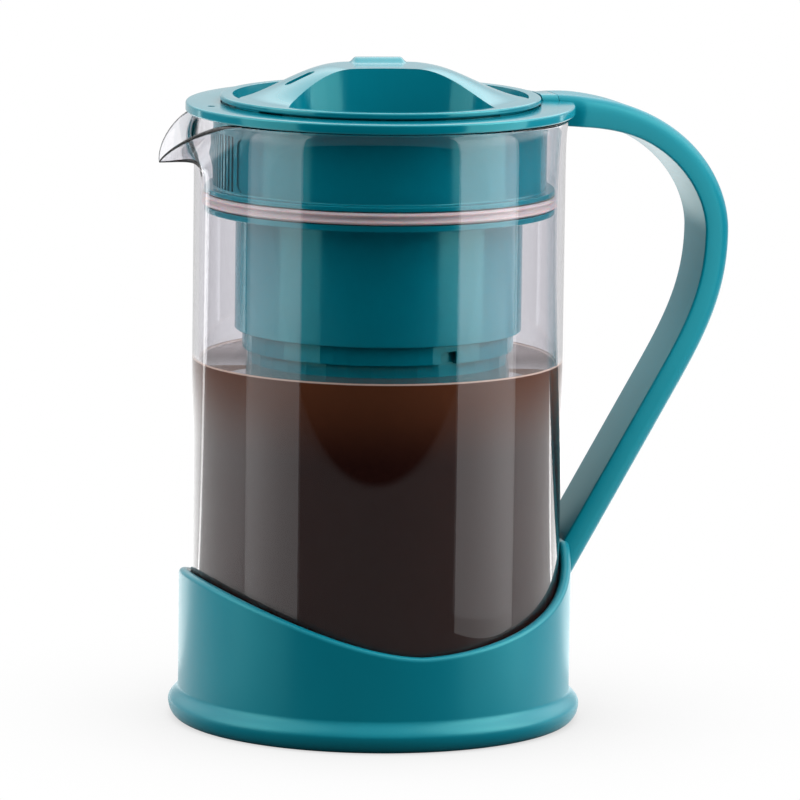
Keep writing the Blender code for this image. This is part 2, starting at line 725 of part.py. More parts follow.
def knob_blank():
    """The knob before its finger pockets: a disc with a dome on it."""
    edge = DISC_EDGE_ROUND
    corners = [(0, DISC_TOP + DOME_HEIGHT, 0)]
    for step in range(DOME_STEPS + 1):
        radius = DOME_FLAT_RADIUS + (DOME_RADIUS - DOME_FLAT_RADIUS) * step / DOME_STEPS
        corners.append((radius, DISC_TOP + dome_height(radius), 0))
    corners += [(DISC_RADIUS, DISC_TOP, edge), (DISC_RADIUS, DISC_BOTTOM, edge), (0, DISC_BOTTOM, 0)]
    return turned("knob_cap", corners, plastic("knob plastic", TEAL, 0.35))


def pocket_outline(tips, crest, side, growth):
    """A finger pocket between the disc's rim and the grip, grown all round for its tub.

    Its outer edge follows the rim. Its inner edge, the side of the grip, is half an
    ellipse from tip to tip. Tips and crest are shares of the pocket's radius. Side is
    -1 for the front pocket and 1 for the back one.
    """
    rim = POCKET_RADIUS + growth
    tips, crest = POCKET_RADIUS * tips, POCKET_RADIUS * crest
    half_length = math.sqrt(rim * rim - tips * tips)
    first = math.degrees(math.asin(side * tips / rim))
    outline = []
    for step in range(POCKET_STEPS + 1):
        x, y = polar(rim, first + (180 - 2 * first) * step / POCKET_STEPS)
        outline.append((x, side * y))
    for step in range(1, POCKET_STEPS):
        x, y = polar(1, 180 * step / POCKET_STEPS)
        outline.append((-half_length * x, tips + (crest - side * growth - tips) * y))
    return outline


def mark_groove():
    """A narrow cutter that follows the dome, over the line that points to the spout."""
    rings = []
    for step in range(MARK_STEPS + 1):
        radius = MARK_INNER + (MARK_OUTER - MARK_INNER) * step / MARK_STEPS
        surface = DISC_TOP + dome_height(radius)
        half = MARK_WIDTH / 2
        rings.append([(radius, -half, surface - MARK_DEPTH), (radius, half, surface - MARK_DEPTH),
                      (radius, half, surface + MARK_DEPTH), (radius, -half, surface + MARK_DEPTH)])
    groove = swept("mark groove", rings, None)
    groove.rotation_euler.z = math.pi
    return groove


def grip_pad(back_crest):
    """The low pad at the back of the grip, with sloped ends and a long slope in front."""
    top = DISC_TOP + DOME_HEIGHT
    foot, crown = PAD_LENGTH / 2, PAD_LENGTH / 2 - PAD_EASE
    ramp_end, back = PAD_START + PAD_RAMP_LENGTH, back_crest + PAD_HEIGHT
    rings = []
    for half, near, height in ((foot, PAD_START, top - DOME_HEIGHT / 2), (foot, PAD_START, top),
                               (crown, ramp_end, top + PAD_HEIGHT)):
        rings.append([(-half, near, height), (half, near, height), (half, back, height), (-half, back, height)])
    return swept("grip pad", rings, None)


def knob_cap():
    """The knob: a domed grip across a disc, with a finger pocket on each side of it."""
    knob = knob_blank()
    turn = math.radians(GRIP_ANGLE)
    floor = DISC_TOP - POCKET_DEPTH
    top = DISC_TOP + DOME_HEIGHT
    pad = grip_pad(POCKET_RADIUS * BACK_POCKET_CREST_SHARE)
    pad.rotation_euler.z = turn
    join(knob, pad)
    pockets = (("front", FRONT_POCKET_TIPS_SHARE, FRONT_POCKET_CREST_SHARE, -1),
               ("back", BACK_POCKET_TIPS_SHARE, BACK_POCKET_CREST_SHARE, 1))
    for label, tips, crest, side in pockets:
        tub = prism(f"{label} tub", pocket_outline(tips, crest, side, POCKET_WALL),
                    floor - POCKET_WALL, DISC_BOTTOM + DISC_THICKNESS / 2)
        tub.rotation_euler.z = turn
        join(knob, tub)
    for label, tips, crest, side in pockets:
        pocket = prism(f"{label} pocket", pocket_outline(tips, crest, side, 0),
                       floor, top + PAD_HEIGHT + OVERRUN)
        pocket.rotation_euler.z = turn
        cut(knob, pocket)
    return cut(knob, mark_groove())


# Shutter

def shutter_sleeve():
    """The sleeve below the knob, whose window lines up with the grille when open."""
    outer = SKIRT_BORE - SLEEVE_CLEARANCE
    inner = outer - SLEEVE_WALL
    bottom = LEDGE_TOP + SEAL_THICKNESS + 2 * SEAL_CLEARANCE
    top = DISC_BOTTOM - SLEEVE_CLEARANCE
    sleeve = turned("shutter_sleeve", [(outer, top, 0), (outer, bottom, 0), (inner, bottom, 0), (inner, top, 0)],
                    plastic("shutter plastic", TEAL, 0.4))
    grille_top = RING_BOTTOM - GRILLE_TOP_DROP
    half = GRILLE_HALF_ANGLE + WINDOW_MARGIN_ANGLE
    window = prism("window", sector(inner - OVERRUN, outer + OVERRUN, 180 - half, 180 + half),
                   grille_top - GRILLE_HEIGHT - WINDOW_MARGIN, grille_top + WINDOW_MARGIN)
    return cut(sleeve, window)


def shutter_seal():
    """The flat ring that the sleeve turns on, on the lid's ledge."""
    outer = SKIRT_BORE - SLEEVE_CLEARANCE
    inner = outer - 2 * SLEEVE_WALL
    bottom = LEDGE_TOP + SEAL_CLEARANCE
    top = bottom + SEAL_THICKNESS
    return turned("shutter_seal", [(outer, top, 0), (outer, bottom, 0), (inner, bottom, 0), (inner, top, 0)],
                  plastic("shutter seal silicone", (0.72, 0.66, 0.64), 0.45), SMALL_ROUND_STEPS)


# Filter

TOP_RING_BOTTOM = COLLAR_BOTTOM - TOP_RING_DROP
GROOVE_BOTTOM = TOP_RING_BOTTOM + BAYONET_SILL
GROOVE_TOP = GROOVE_BOTTOM + BAYONET_GROOVE_HEIGHT
SKIRT_TOP = TOP_RING_BOTTOM - FILTER_CLEARANCE
SKIRT_BOTTOM = SKIRT_TOP - BASKET_SKIRT_HEIGHT


def bayonet_angles():
    """Where the bayonet's entries are round the ring."""
    return [BAYONET_FIRST_ANGLE + 360 * index / BAYONET_COUNT for index in range(BAYONET_COUNT)]


def filter_top_ring():
    """The ring that plugs into the lid's collar and takes the basket's bayonet lugs."""
    top = COLLAR_BOTTOM + TOP_RING_RISE
    ring = turned("filter_top_ring", [
        (TOP_RING_RADIUS, top, 0), (TOP_RING_RADIUS, TOP_RING_BOTTOM, 0),
        (TOP_RING_BORE, TOP_RING_BOTTOM, 0), (TOP_RING_BORE, top, 0)],
        plastic("filter ring plastic", TEAL, 0.4))
    half = BAYONET_HALF_ANGLE + BAYONET_SLACK_ANGLE
    for index, middle in enumerate(bayonet_angles()):
        entry = sector(TOP_RING_BORE - OVERRUN, TOP_RING_RADIUS + OVERRUN, middle - half, middle + half)
        cut(ring, prism(f"bayonet entry {index}", entry, TOP_RING_BOTTOM - OVERRUN, GROOVE_TOP))
        groove = sector(TOP_RING_BORE - OVERRUN, TOP_RING_BORE + BAYONET_GROOVE_DEPTH,
                        middle - half, middle + half + BAYONET_TURN)
        cut(ring, prism(f"bayonet groove {index}", groove, GROOVE_BOTTOM, GROOVE_TOP))
    return ring


def filter_cage():
    """The basket's frame: a neck with bayonet lugs, a skirt, and a grid of ribs and hoops."""
    neck_top = SKIRT_TOP + BASKET_NECK_HEIGHT
    cage = turned("filter_cage", [
        (NECK_RADIUS, neck_top, 0), (NECK_RADIUS, SKIRT_TOP, 0), (BASKET_RADIUS, SKIRT_TOP, 0),
        (BASKET_RADIUS, SKIRT_BOTTOM + BASKET_WALL, 0), (CAGE_TOP_RADIUS, SKIRT_BOTTOM, 0),
        (CAGE_BOTTOM_RADIUS, CAGE_BOTTOM, 0), (CAGE_BOTTOM_RADIUS - CAGE_THICKNESS, CAGE_BOTTOM, 0),
        (CAGE_TOP_RADIUS - CAGE_THICKNESS, SKIRT_BOTTOM, 0),
        (NECK_RADIUS - BASKET_WALL, SKIRT_TOP, 0), (NECK_RADIUS - BASKET_WALL, neck_top, 0)],
        plastic("filter cage plastic", TEAL, 0.4), SMALL_ROUND_STEPS)
    bays = CAGE_HOOPS - 1
    pitch = (SKIRT_BOTTOM - CAGE_BOTTOM) / (bays + 1)
    for bay in range(bays + 1):
        low = CAGE_BOTTOM + pitch * bay + CAGE_BAR_WIDTH
        high = CAGE_BOTTOM + pitch * (bay + 1) - CAGE_BAR_WIDTH
        for rib in range(CAGE_RIBS):
            spread = math.degrees(CAGE_BAR_WIDTH / CAGE_TOP_RADIUS)
            first = 360 * rib / CAGE_RIBS + spread / 2
            last = 360 * (rib + 1) / CAGE_RIBS - spread / 2
            hole = sector(CAGE_BOTTOM_RADIUS - CAGE_THICKNESS - OVERRUN, CAGE_TOP_RADIUS + OVERRUN, first, last)
            cut(cage, prism(f"cage window {bay} {rib}", hole, low, high))
    return cage


def bayonet_lugs(cage):
    """The lugs on the neck, parked at the closed end of their grooves."""
    low = GROOVE_BOTTOM + FILTER_CLEARANCE
    high = GROOVE_TOP - FILTER_CLEARANCE
    for index, middle in enumerate(bayonet_angles()):
        parked = middle + BAYONET_TURN
        lug = sector(NECK_RADIUS - BASKET_WALL / 2, TOP_RING_BORE + BAYONET_GROOVE_DEPTH - FILTER_CLEARANCE,
                     parked - BAYONET_HALF_ANGLE, parked + BAYONET_HALF_ANGLE)
        join(cage, prism(f"bayonet lug {index}", lug, low, high))
    return cage


def filter_mesh_sleeve():
    """The fine mesh inside the cage, as a thin tube."""
    top = SKIRT_BOTTOM
    outer_top = CAGE_TOP_RADIUS - CAGE_THICKNESS - MESH_CLEARANCE
    outer_bottom = CAGE_BOTTOM_RADIUS - CAGE_THICKNESS - MESH_CLEARANCE
    return turned("filter_mesh_sleeve", [
        (outer_top, top, 0), (outer_bottom, CAGE_BOTTOM, 0),
        (outer_bottom - MESH_WALL, CAGE_BOTTOM, 0), (outer_top - MESH_WALL, top, 0)],
        steel("filter mesh", (0.62, 0.61, 0.58), 0.4), SMALL_ROUND_STEPS)


def filter_bottom_cap():
    """The cap that snaps on under the cage: a rim, and spokes below the mesh floor."""
    inner = CAGE_BOTTOM_RADIUS + MESH_CLEARANCE + (CAGE_TOP_RADIUS - CAGE_BOTTOM_RADIUS) * CAP_SKIRT / (
        SKIRT_BOTTOM - CAGE_BOTTOM)
    outer = inner + CAP_WALL
    top = CAGE_BOTTOM + CAP_SKIRT - CAGE_BAR_WIDTH / 2
    shelf = CAGE_BOTTOM - MESH_WALL - 2 * MESH_CLEARANCE
    cap = turned("filter_bottom_cap", [
        (outer, top, 0), (outer, shelf - CAP_FLOOR, CAP_WALL / 2), (0, shelf - CAP_FLOOR, 0),
        (0, shelf, 0), (inner, shelf, 0), (inner, top, 0)],
        plastic("filter cap plastic", TEAL, 0.4), SMALL_ROUND_STEPS)
    open_outer = inner - CAP_RING_WIDTH
    for spoke in range(CAP_SPOKES):
        spread = math.degrees(CAP_SPOKE_WIDTH / open_outer)
        first = 360 * spoke / CAP_SPOKES + spread
        last = 360 * (spoke + 1) / CAP_SPOKES - spread
        hole = sector(CAP_RING_WIDTH, open_outer, first, last)
        cut(cap, prism(f"cap window {spoke}", hole, shelf - CAP_FLOOR - OVERRUN, shelf + MESH_CLEARANCE))
    return cap


def filter_mesh_floor():
    """The mesh disc on the cap, under the basket."""
    top = CAGE_BOTTOM - MESH_CLEARANCE
    return turned("filter_mesh_floor", [
        (CAGE_BOTTOM_RADIUS - MESH_CLEARANCE, top, 0), (CAGE_BOTTOM_RADIUS - MESH_CLEARANCE, top - MESH_WALL, 0),
        (0, top - MESH_WALL, 0), (0, top, 0)],
        steel("filter floor mesh", (0.62, 0.61, 0.58), 0.4), SMALL_ROUND_STEPS)


def main():
    """Build every piece."""
    for old in list(bpy.data.objects):
        bpy.data.objects.remove(old)
    base_with_handle()
    glass_carafe()
    lid_body()
    lid_gasket()
    knob_cap()
    shutter_sleeve()
    shutter_seal()
    filter_top_ring()
    bayonet_lugs(filter_cage())
    filter_mesh_sleeve()
    filter_mesh_floor()
    filter_bottom_cap()


main()
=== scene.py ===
# %% [markdown]
# A cold brew coffee maker, dressed for its portrait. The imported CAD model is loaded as
# a fixed frame first. Every piece made here sits around it and rides on one of its bodies,
# so that the lid lifts, the knob turns and the filter twists with the finished looks on.

# %% Load the frame
import math

import bmesh
import bpy
from mathutils import Matrix, Vector


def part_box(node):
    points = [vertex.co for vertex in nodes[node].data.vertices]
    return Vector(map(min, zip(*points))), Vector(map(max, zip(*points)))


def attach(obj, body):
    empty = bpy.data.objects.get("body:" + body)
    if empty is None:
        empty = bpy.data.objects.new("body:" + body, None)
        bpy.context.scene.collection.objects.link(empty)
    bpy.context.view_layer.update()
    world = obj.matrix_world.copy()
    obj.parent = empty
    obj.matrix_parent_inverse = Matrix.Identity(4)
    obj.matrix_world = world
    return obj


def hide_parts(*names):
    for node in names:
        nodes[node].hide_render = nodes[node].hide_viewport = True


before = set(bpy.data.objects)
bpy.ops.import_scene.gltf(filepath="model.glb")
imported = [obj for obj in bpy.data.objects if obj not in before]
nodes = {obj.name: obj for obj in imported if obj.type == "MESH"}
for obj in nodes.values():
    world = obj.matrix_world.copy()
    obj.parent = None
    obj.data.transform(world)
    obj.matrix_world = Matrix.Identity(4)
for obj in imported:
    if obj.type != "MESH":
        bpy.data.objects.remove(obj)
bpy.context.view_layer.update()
print("nodes:", ", ".join(sorted(nodes)))

# %% [markdown]
# The camera comes first, so that every later step can be compared with the photograph.
# The jug's ellipses say how it was taken: a long lens from about 2.2 m away, a little
# above the lid, with the handle turned 17.5 degrees away from the picture's plane.
# The picture leans by under a degree, which is a roll about the line of sight.

# %% Camera
CAMERA_AZIMUTH = -17.5
CAMERA_DISTANCE = 2.2
CAMERA_HEIGHT = 0.443
CAMERA_ROLL = 0.75
CAMERA_LENS_MM = 331.0
SENSOR_MM = 36.0
AIM_RIGHT = 0.0070
AIM_HEIGHT = 0.0970

azimuth = math.radians(CAMERA_AZIMUTH)
to_right = Vector((math.cos(azimuth), math.sin(azimuth), 0))
to_camera = Vector((math.sin(azimuth), -math.cos(azimuth), 0))
camera_place = to_camera * CAMERA_DISTANCE + Vector((0, 0, CAMERA_HEIGHT))
aim = to_right * AIM_RIGHT + Vector((0, 0, AIM_HEIGHT))
lens = bpy.data.cameras.new("portrait lens")
lens.lens = CAMERA_LENS_MM
lens.sensor_width = SENSOR_MM
camera = bpy.data.objects.new("camera", lens)
bpy.context.collection.objects.link(camera)
camera.location = camera_place
camera.rotation_mode = "QUATERNION"
level_gaze = (aim - camera_place).to_track_quat("-Z", "Y")
camera.rotation_quaternion = level_gaze @ Matrix.Rotation(math.radians(CAMERA_ROLL), 3, "Z").to_quaternion()
bpy.context.scene.camera = camera
print("camera at", [round(value, 3) for value in camera_place])

# %% [markdown]
# Materials are built from nodes. Two small helpers are enough: one turns a colour from
# the sRGB hex form that paint charts use into the linear numbers that a renderer needs,
# and one adds a node with its settings and its links.

# %% Material helpers
def linear(hex_colour):
    """The linear RGBA of an sRGB hex colour."""
    values = [int(hex_colour[i:i + 2], 16) / 255 for i in (1, 3, 5)]
    return (*[v / 12.92 if v <= 0.04045 else ((v + 0.055) / 1.055) ** 2.4 for v in values], 1.0)


def add(material, kind, links=None, settings=None, values=None):
    """Add a node: settings are its properties, values its inputs, links its incoming wires."""
    tree = material.node_tree
    node = tree.nodes.new(kind)
    for name, value in (settings or {}).items():
        setattr(node, name, value)
    for name, value in (values or {}).items():
        node.inputs[name].default_value = value
    for name, socket in (links or {}).items():
        tree.links.new(socket, node.inputs[name])
    return node


def new_material(name, values):
    """A Principled material with constant values on its own sockets."""
    material = bpy.data.materials.new(name)
    material.use_nodes = True
    shader = material.node_tree.nodes["Principled BSDF"]
    for socket, value in values.items():
        shader.inputs[socket].default_value = value
    return material, shader


def wear(piece, material):
    """Put one material on a piece."""
    piece.data.materials.clear()
    piece.data.materials.append(material)


print("sRGB #808080 in linear light:", round(linear("#808080")[0], 3))

# %% [markdown]
# The holder, the lid and the knob are injection moulded polypropylene in a deep teal.
# The holder's skin is satin: spark-eroded moulds leave a grain of a few tenths of a
# millimetre that spreads the reflections. A fine noise in the bump gives that grain, and
# a slow, faint one in the colour keeps large faces from looking like paint. The lid comes
# out of a polished mould and mirrors the softboxes with sharp edges.
#
# The photograph's highlights on the plastic are teal themselves, where a plain dielectric
# would give white ones. A tint on the specular reflection takes the red out of them.

# %% Moulded teal polypropylene
TEAL_HEX = "#007181"
TEAL_DEEP_HEX = "#006778"
TEAL_SHEEN_HEX = "#95fff4"
GRAIN_MM = 0.8
CLOUD_MM = 25.0


def moulded_polypropylene(name, roughness, gloss, grain):
    """Teal plastic. Gloss is its specular level, grain its texture's height in millimetres."""
    material, shader = new_material(name, {"Roughness": roughness, "IOR": 1.49, "Specular IOR Level": gloss,
                                           "Specular Tint": linear(TEAL_SHEEN_HEX)})
    place = add(material, "ShaderNodeTexCoord")
    cloud = add(material, "ShaderNodeTexNoise", {"Vector": place.outputs["Object"]},
                values={"Scale": 1000 / CLOUD_MM, "Detail": 2.0})
    tint = add(material, "ShaderNodeMix", {"Factor": cloud.outputs["Fac"]}, {"data_type": "RGBA"},
               {"A": linear(TEAL_HEX), "B": linear(TEAL_DEEP_HEX)})
    skin = add(material, "ShaderNodeTexNoise", {"Vector": place.outputs["Object"]},
               values={"Scale": 1000 / GRAIN_MM, "Detail": 1.0})
    bump = add(material, "ShaderNodeBump", {"Height": skin.outputs["Fac"]},
               values={"Strength": 1.0, "Distance": grain / 1000})
    material.node_tree.links.new(tint.outputs["Result"], shader.inputs["Base Color"])
    material.node_tree.links.new(bump.outputs["Normal"], shader.inputs["Normal"])
    return material


holder_plastic = moulded_polypropylene("satin polypropylene, holder", 0.30, 0.5, 0.003)
lid_plastic = moulded_polypropylene("polished polypropylene, lid", 0.13, 0.85, 0.0)
print("plastics:", holder_plastic.name, "and", lid_plastic.name)

# %% [markdown]
# The beaker is blown borosilicate glass: clear, with an IOR of 1.47 and no roughness.
# A path tracer finds light through clear glass only by luck, and what stands inside would
# go dark and grainy. So the glass lets the rays that only carry light pass, through its
# alpha, and keeps its reflections and its refraction for every ray that looks at it.

# %% Blown glass
GLASS_HEX = "#ecebef"
glass, glass_shader = new_material("borosilicate glass, blown", {
    "Base Color": linear(GLASS_HEX), "Roughness": 0.0, "IOR": 1.47, "Transmission Weight": 1.0})
glass_paths = add(glass, "ShaderNodeLightPath")
glass_blind = add(glass, "ShaderNodeMath", {0: glass_paths.outputs["Is Shadow Ray"],
                                             1: glass_paths.outputs["Is Diffuse Ray"]}, {"operation": "MAXIMUM"})
glass_seen = add(glass, "ShaderNodeMath", {1: glass_blind.outputs["Value"]}, {"operation": "SUBTRACT"}, {0: 1.0})
glass.node_tree.links.new(glass_seen.outputs["Value"], glass_shader.inputs["Alpha"])
print("glass:", glass.name)

# %% [markdown]
# The brew is so dark that nothing shows a few millimetres in. It is a brown body with painted
# light on it: a lighter brown painted towards the top, where light gets in, and a pale painted
# highlight where it climbs the glass as a film thin enough to see through.

# %% Coffee's colours
COFFEE_LEVEL = 0.1097
BREW_HEX = "#23110e"
# painted light: the brew's colour turns a lighter brown towards the surface, where light gets in
BREW_PAINTED_LIGHT_HEX = "#4a2a1b"
BREW_PAINTED_LIGHT_DEPTH = 0.026
# painted highlight: the pale colour of the thin film that climbs the glass
BREW_FILM_HIGHLIGHT_HEX = "#b09a90"
BREW_FILM_HEIGHT = 0.0002
EASED = {"interpolation_type": "SMOOTHSTEP"}
brew, brew_shader = new_material("cold brew coffee", {"Roughness": 0.0, "IOR": 1.34})
brew_place = add(brew, "ShaderNodeTexCoord")
brew_height = add(brew, "ShaderNodeSeparateXYZ", {"Vector": brew_place.outputs["Object"]}).outputs["Z"]
# painted light mask: 0 deep in the brew, 1 at its surface
brew_painted_light = add(brew, "ShaderNodeMapRange", {"Value": brew_height}, EASED,
               {"From Min": COFFEE_LEVEL - BREW_PAINTED_LIGHT_DEPTH, "From Max": COFFEE_LEVEL})
brew_painted_tint = add(brew, "ShaderNodeMix", {"Factor": brew_painted_light.outputs["Result"]}, {"data_type": "RGBA"},
                {"A": linear(BREW_HEX), "B": linear(BREW_PAINTED_LIGHT_HEX)})
# painted highlight mask: the thin band of film just above the brew's level
brew_film_highlight = add(brew, "ShaderNodeMapRange", {"Value": brew_height}, EASED,
                {"From Min": COFFEE_LEVEL, "From Max": COFFEE_LEVEL + BREW_FILM_HEIGHT})
brew_colour = add(brew, "ShaderNodeMix", {"Factor": brew_film_highlight.outputs["Result"], "A": brew_painted_tint.outputs["Result"]},
                  {"data_type": "RGBA"}, {"B": linear(BREW_FILM_HIGHLIGHT_HEX)})
brew.node_tree.links.new(brew_colour.outputs["Result"], brew_shader.inputs["Base Color"])
print("coffee:", brew.name)

# %% [markdown]
# The gasket is moulded silicone rubber. It is milky: light goes in and scatters, which
# subsurface scattering gives, and its skin is a little softer than the plastic's.

# %% Silicone
SILICONE_HEX = "#b6a9ab"
SCATTER_DEPTH = 0.002
silicone, _ = new_material("silicone rubber, moulded", {
    "Base Color": linear(SILICONE_HEX), "Roughness": 0.35, "IOR": 1.41,
    "Subsurface Weight": 0.4, "Subsurface Scale": SCATTER_DEPTH})
print("seals:", silicone.name)

# %% [markdown]
# The filter's walls are woven stainless steel wire. The real weave is finer than a tenth
# of a millimetre and can't show here, so it is drawn at one millimetre: two crossed sine
# waves, one up the wall and one along its diagonal, with painted shade in the gaps between
# the wires. A wave texture runs through twenty radians per unit, and a diagonal one through ten.

# %% Woven steel
WEAVE_MM = 1.0
WAVE_RADIANS = 20
WEAVE_SCALE = math.tau / WAVE_RADIANS * 1000 / WEAVE_MM
WIRE_HEX = "#c9c6c0"
# painted shade: the dark grey in the gaps between the wires
WIRE_GAP_SHADE_HEX = "#4b4a48"
mesh_steel, mesh_shader = new_material("stainless steel, woven", {"Roughness": 0.35, "Metallic": 1.0})
mesh_place = add(mesh_steel, "ShaderNodeTexCoord")
warp = add(mesh_steel, "ShaderNodeTexWave", {"Vector": mesh_place.outputs["Object"]},
           {"bands_direction": "Z"}, {"Scale": WEAVE_SCALE})
weft = add(mesh_steel, "ShaderNodeTexWave", {"Vector": mesh_place.outputs["Object"]},
           {"bands_direction": "DIAGONAL"}, {"Scale": 2 * WEAVE_SCALE})
wires = add(mesh_steel, "ShaderNodeMath", {0: warp.outputs["Fac"], 1: weft.outputs["Fac"]},
            {"operation": "MULTIPLY"})
wire_tint = add(mesh_steel, "ShaderNodeMix", {"Factor": wires.outputs["Value"]}, {"data_type": "RGBA"},
                {"A": linear(WIRE_GAP_SHADE_HEX), "B": linear(WIRE_HEX)})
mesh_steel.node_tree.links.new(wire_tint.outputs["Result"], mesh_shader.inputs["Base Color"])
print("weave:", mesh_steel.name, "drawn at", WEAVE_MM, "mm")

# %% [markdown]
# Most pieces of this jug are one of three shapes: a ring turned about the jug's axis, a
# strap swept along a line, or a cup whose section changes as it goes round. Each has its
# helper, and every outline goes through one that rounds its corners, because a moulded
# edge without a radius catches no light and looks drawn.

# %% Shape helpers
SMOOTH_ANGLE = 35.0


def polish(piece, angle=SMOOTH_ANGLE):
    """Shade a piece smooth, apart from edges sharper than the angle."""
    piece.data.shade_smooth()
    piece.data.set_sharp_from_angle(angle=math.radians(angle))


def settle(name, shape):
    """Turn a bmesh into a shaded object with its faces turned outwards."""
    bmesh.ops.recalc_face_normals(shape, faces=shape.faces)
    mesh = bpy.data.meshes.new(name)
    shape.to_mesh(mesh)
    shape.free()
    piece = bpy.data.objects.new(name, mesh)
    polish(piece)
    bpy.context.collection.objects.link(piece)
    return piece


def rounded(corners, closed=True, steps=6):
    """Round the corners (x, z, radius) of an outline and return its points."""
    points = []
    count = len(corners)
    for index, (x, z, radius) in enumerate(corners):
        here = Vector((x, z))
        if radius == 0 or (not closed and index in (0, count - 1)):
            points.append(here)
            continue
        before = Vector(corners[index - 1][:2]) - here
        after = Vector(corners[(index + 1) % count][:2]) - here
        half = before.angle(after) / 2
        reach = radius / math.tan(half)
        start = here + before.normalized() * reach
        end = here + after.normalized() * reach
        centre = here + (before.normalized() + after.normalized()).normalized() * radius / math.sin(half)
        arc = math.copysign(math.pi - 2 * half, (start - centre).cross(end - centre))
        for step in range(steps + 1):
            points.append(centre + Matrix.Rotation(arc * step / steps, 2) @ (start - centre))
    return points


def turned(name, corners, steps=240):
    """Spin a closed outline of (radius, height, corner radius) about Z."""
    shape = bmesh.new()
    verts = [shape.verts.new((point.x, 0, point.y)) for point in rounded(corners)]
    edges = [shape.edges.new((verts[i - 1], verts[i])) for i in range(len(verts))]
    bmesh.ops.spin(shape, geom=verts + edges, cent=(0, 0, 0), axis=(0, 0, 1), angle=math.tau, steps=steps,
                   use_merge=True)
    bmesh.ops.remove_doubles(shape, verts=shape.verts, dist=1e-6)
    return settle(name, shape)


def swept(name, rings):
    """Skin closed rings of points along a path, and cap both ends."""
    shape = bmesh.new()
    loops = [[shape.verts.new(point) for point in ring] for ring in rings]
    for loop, other in zip(loops, loops[1:]):
        for i in range(len(loop)):
            j = (i + 1) % len(loop)
            shape.faces.new((loop[i], loop[j], other[j], other[i]))
    shape.faces.new(loops[0])
    shape.faces.new(list(reversed(loops[-1])))
    return settle(name, shape)


def prism(name, outline, low, high):
    """Extrude a flat outline of (x, y) points from one height to another."""
    return swept(name, [[(x, y, height) for x, y in outline] for height in (low, high)])


def columns(name, sections, bottom, floor):
    """Skin open wall sections round Z. A point at the bottom and one on the floor close them."""
    shape = bmesh.new()
    walls = [[shape.verts.new(point) for point in section] for section in sections]
    below, above = shape.verts.new((0, 0, bottom)), shape.verts.new((0, 0, floor))
    for wall, other in zip(walls, walls[1:] + walls[:1]):
        for i in range(len(wall) - 1):
            shape.faces.new((wall[i], other[i], other[i + 1], wall[i + 1]))
        shape.faces.new((below, other[0], wall[0]))
        shape.faces.new((above, wall[-1], other[-1]))
    return settle(name, shape)


print("shape helpers: turned, swept, prism, columns")

# %% [markdown]
# Cuts and joins are boolean modifiers, and the last edge rounding is a bevel modifier.
# Both are applied at once, so that the next step works on a plain mesh.

# %% Cutting and softening
CUTTER_REACH = 0.002


def apply_modifiers(piece):
    """Give a piece the mesh that its modifiers make of it."""
    graph = bpy.context.evaluated_depsgraph_get()
    made = bpy.data.meshes.new_from_object(piece.evaluated_get(graph), depsgraph=graph)
    piece.modifiers.clear()
    piece.data = made


def carve(piece, tools, operation="DIFFERENCE"):
    """Cut tools out of a piece, or join them on, and throw the tools away."""
    for tool in tools:
        step = piece.modifiers.new(tool.name, "BOOLEAN")
        step.operation = operation
        step.object = tool
        step.solver = "EXACT"
    apply_modifiers(piece)
    for tool in tools:
        bpy.data.objects.remove(tool)


def soften(piece, width, segments, angle):
    """Round off a piece's edges that are sharper than the angle."""
    step = piece.modifiers.new("soft edges", "BEVEL")
    step.width = width
    step.segments = segments
    step.limit_method = "ANGLE"
    step.angle_limit = math.radians(angle)
    apply_modifiers(piece)
    polish(piece, angle)


print("cutters reach", CUTTER_REACH * 1000, "mm past what they cut")

# %% [markdown]
# Three small formulas carry the free forms: a point on a circle, a step that starts and
# ends gently, and a cubic curve.

# %% Curves
def polar(radius, degrees):
    """A point on a circle about the origin."""
    return radius * math.cos(math.radians(degrees)), radius * math.sin(math.radians(degrees))


def smooth_step(value):
    """Ease from 0 to 1."""
    value = min(max(value, 0.0), 1.0)
    return value * value * (3 - 2 * value)


def bezier(start, first_pull, second_pull, end, steps):
    """Points on a cubic curve from start to end, without the end."""
    shares = [step / steps for step in range(steps)]
    return [start * (1 - t) ** 3 + first_pull * 3 * t * (1 - t) ** 2
            + second_pull * 3 * t ** 2 * (1 - t) + end * t ** 3 for t in shares]


print("halfway up the gentle step:", smooth_step(0.5))

# %% [markdown]
# The frame gives the heights and radii that everything below is fitted to.

# %% Sizes from the frame
glass_low, glass_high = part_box("glass_carafe")
lid_low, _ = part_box("lid_body")
_, base_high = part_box("base_with_handle")
_, knob_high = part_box("knob_cap")
GLASS_RADIUS = 0.056
GLASS_WALL = 0.0018
GLASS_FLOOR = 0.0026
GLASS_BOTTOM = glass_low.z
RIM_TOP = glass_high.z
print("beaker radius and rim height in mm:", round(GLASS_RADIUS * 1000, 1), round(RIM_TOP * 1000, 1))

# %% [markdown]
# ## Beaker
# A beaker like this is blown into a mould and its rim is reheated, so that a glassmaker's
# tool can draw the pouring spout out of it. That leaves a lip that reaches out and dips,
# and a wall that follows it over the last two centimetres and gets thinner on the way.
#
# It could be a turned cup with a spout sculpted by hand. Here the wall's section is a
# function of the angle instead: a cubic curve whose end moves out and down near the spout.
# So the spout's width, reach and dip are three numbers that can be read off a photograph.
# The same section holds the inside of the wall, and the glass has a true thickness to bend
# the light with.

